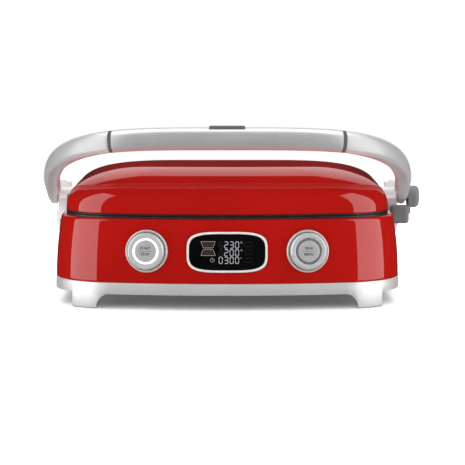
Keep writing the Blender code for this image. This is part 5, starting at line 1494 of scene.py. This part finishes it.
def dress_inner_nodes():
    """Finishes for the CAD nodes that stay as they are."""
    for name, make, values in (
        ("lower_heating_element", bare_steel, ((0.28, 0.26, 0.24), 0.45)),
        ("upper_heating_element", bare_steel, ((0.28, 0.26, 0.24), 0.45)),
        ("lower_reflector", bare_steel, ((0.7, 0.7, 0.69), 0.2)),
        ("upper_reflector", bare_steel, ((0.7, 0.7, 0.69), 0.2)),
        ("encoder_left", moulded, ((0.02, 0.02, 0.02), 0.5)),
        ("encoder_right", moulded, ((0.02, 0.02, 0.02), 0.5)),
        ("display_module", moulded, ((0.03, 0.03, 0.03), 0.5)),
        ("control_board", board_laminate, ()),
    ):
        item = frame["nodes"][name]
        item.data.materials.clear()
        item.data.materials.append(make(name + "_look", *values))


class GRILL_OT_fittings(bpy.types.Operator):
    """Build the tray, release buttons, gland and covers, and finish the inner pieces"""
    bl_idname = "grill.fittings"
    bl_label = "Fittings"

    def execute(self, context):
        build_fittings()
        dress_inner_nodes()
        return {"FINISHED"}


# Stage

def softbox(name, where, target, width, height, power):
    data = bpy.data.lights.new(name, "AREA")
    data.shape = "RECTANGLE"
    data.size = width
    data.size_y = height
    data.energy = power
    light = linked(name, data)
    light.location = where
    light.rotation_euler = (Vector(target) - Vector(where)).to_track_quat("-Z", "Y").to_euler()
    return light


def build_stage():
    stage = settings("stage")
    scene = bpy.context.scene
    scene.view_settings.view_transform = "Standard"
    camera = linked("camera", bpy.data.cameras.new("camera"))
    scene.camera = camera
    camera.data.lens = stage.lens
    camera.data.clip_end = 50.0
    camera.location = place(stage.camera_side, -stage.camera_distance, stage.camera_height)
    camera.rotation_euler = (math.pi / 2 - stage.camera_pitch, 0.0, 0.0)

    world = bpy.data.worlds.new("studio")
    scene.world = world
    world.use_nodes = True
    nodes, links = world.node_tree.nodes, world.node_tree.links
    back = nodes["Background"]
    back.inputs["Color"].default_value = (1.0, 1.0, 1.0, 1.0)
    paths = nodes.new("ShaderNodeLightPath")
    pick = nodes.new("ShaderNodeMix")
    pick.data_type = "FLOAT"
    gloss = nodes.new("ShaderNodeMix")
    gloss.data_type = "FLOAT"
    gloss.inputs["A"].default_value = stage.fill
    gloss.inputs["B"].default_value = stage.dark
    pick.inputs["B"].default_value = 1.0
    links.new(paths.outputs["Is Glossy Ray"], gloss.inputs["Factor"])
    links.new(gloss.outputs["Result"], pick.inputs["A"])
    links.new(paths.outputs["Is Camera Ray"], pick.inputs["Factor"])
    links.new(pick.outputs["Result"], back.inputs["Strength"])

    mesh = bmesh.new()
    bmesh.ops.create_grid(mesh, x_segments=8, y_segments=8, size=1.5)
    floor = raw("floor", mesh)
    floor.location = (0.0, 0.0, -0.0002)
    look = finish("pale_floor", (0.92, 0.92, 0.92), 0.9, Specular_IOR_Level=0.0, Emission_Strength=0.09)
    look.node_tree.nodes["Principled BSDF"].inputs["Emission Color"].default_value = (1.0, 1.0, 1.0, 1.0)
    tinted(look, speckle(look, 3.0, 3.0), (0.91, 0.91, 0.91), (0.93, 0.93, 0.93))
    floor.data.materials.append(look)
    floor.visible_glossy = False

    middle = place(0.0, BODY_DEPTH / 2, 0.1)
    softbox("rear_softbox", place(0.0, 1.57, 0.80), middle, 2.2, 0.84, stage.rear_light)
    overhead = softbox("top_softbox", place(0.0, 1.05, 1.95), middle, 2.6, 1.4, stage.top_light)
    front = softbox("front_softbox", place(0.0, -2.1, 1.1), middle, 2.4, 1.2, stage.front_light)
    for light in (overhead, front):
        light.visible_glossy = False
    metal = bpy.data.collections.new("handle")
    rest = bpy.data.collections.new("all but the handle")
    for item in scene.objects:
        if item.type == "MESH":
            (metal if item.name.startswith(("handle_", "lid_boss")) else rest).objects.link(item)
    overhead.light_linking.receiver_collection = rest
    turn, away = math.radians(70), 1.5
    for side, sign in SIDES:
        target = place(sign * 0.15, 0.04, 1.4)
        where = place(sign * (0.15 + away * math.sin(turn)), 0.04 - away * math.cos(turn), 1.4)
        light = softbox(side + "_softbox", where, target, 1.6, 3.5, stage.side_light)
        light.rotation_euler.rotate_axis("Z", sign * math.radians(3))
        light.light_linking.receiver_collection = rest
        power = stage.side_light * stage.handle_share
        light = softbox(side + "_handle_softbox", where, target, 1.6, 3.5, power)
        light.light_linking.receiver_collection = metal
    light = softbox("bar_softbox", place(0.0, 0.1, 1.6), place(0.0, 0.05, 0.18), 2.4, 1.5, stage.bar_light)
    light.light_linking.receiver_collection = metal


class GRILL_OT_stage(bpy.types.Operator):
    """Build the floor, the lights, the surroundings and the camera"""
    bl_idname = "grill.stage"
    bl_label = "Stage"

    def execute(self, context):
        build_stage()
        return {"FINISHED"}


class GRILL_PT_sidebar(bpy.types.Panel):
    """The grill's pieces and their settings"""
    bl_idname = "GRILL_PT_sidebar"
    bl_label = "Contact grill"
    bl_space_type = "VIEW_3D"
    bl_region_type = "UI"
    bl_category = "Grill"

    def draw(self, context):
        for group, operators in SECTIONS:
            column = self.layout.column(align=True)
            values = getattr(context.scene, "grill_" + group)
            for name in values.__annotations__:
                column.prop(values, name)
            for operator in operators:
                column.operator("grill." + operator)


SECTIONS = (
    ("housing", ("lid", "base", "skirt")),
    ("handle", ("handle", "hinge")),
    ("controls", ("dials",)),
    ("display", ("display",)),
    ("plates", ("plates", "fittings")),
    ("stage", ("stage",)),
)
GROUPS = {
    "housing": HousingSettings, "handle": HandleSettings, "controls": ControlSettings,
    "display": DisplaySettings, "plates": PlateSettings, "stage": StageSettings,
}
CLASSES = (
    *GROUPS.values(), GRILL_OT_lid, GRILL_OT_base, GRILL_OT_skirt, GRILL_OT_handle, GRILL_OT_hinge,
    GRILL_OT_dials, GRILL_OT_display, GRILL_OT_plates, GRILL_OT_fittings, GRILL_OT_stage, GRILL_PT_sidebar,
)


def register():
    for item in CLASSES:
        bpy.utils.register_class(item)
    for name, group in GROUPS.items():
        setattr(bpy.types.Scene, "grill_" + name, PointerProperty(type=group))


def unregister():
    for name in GROUPS:
        delattr(bpy.types.Scene, "grill_" + name)
    for item in reversed(CLASSES):
        bpy.utils.unregister_class(item)


def main():
    register()
    for _, operators in SECTIONS:
        for operator in operators:
            getattr(bpy.ops.grill, operator)()


if __name__ == "__main__":
    main()
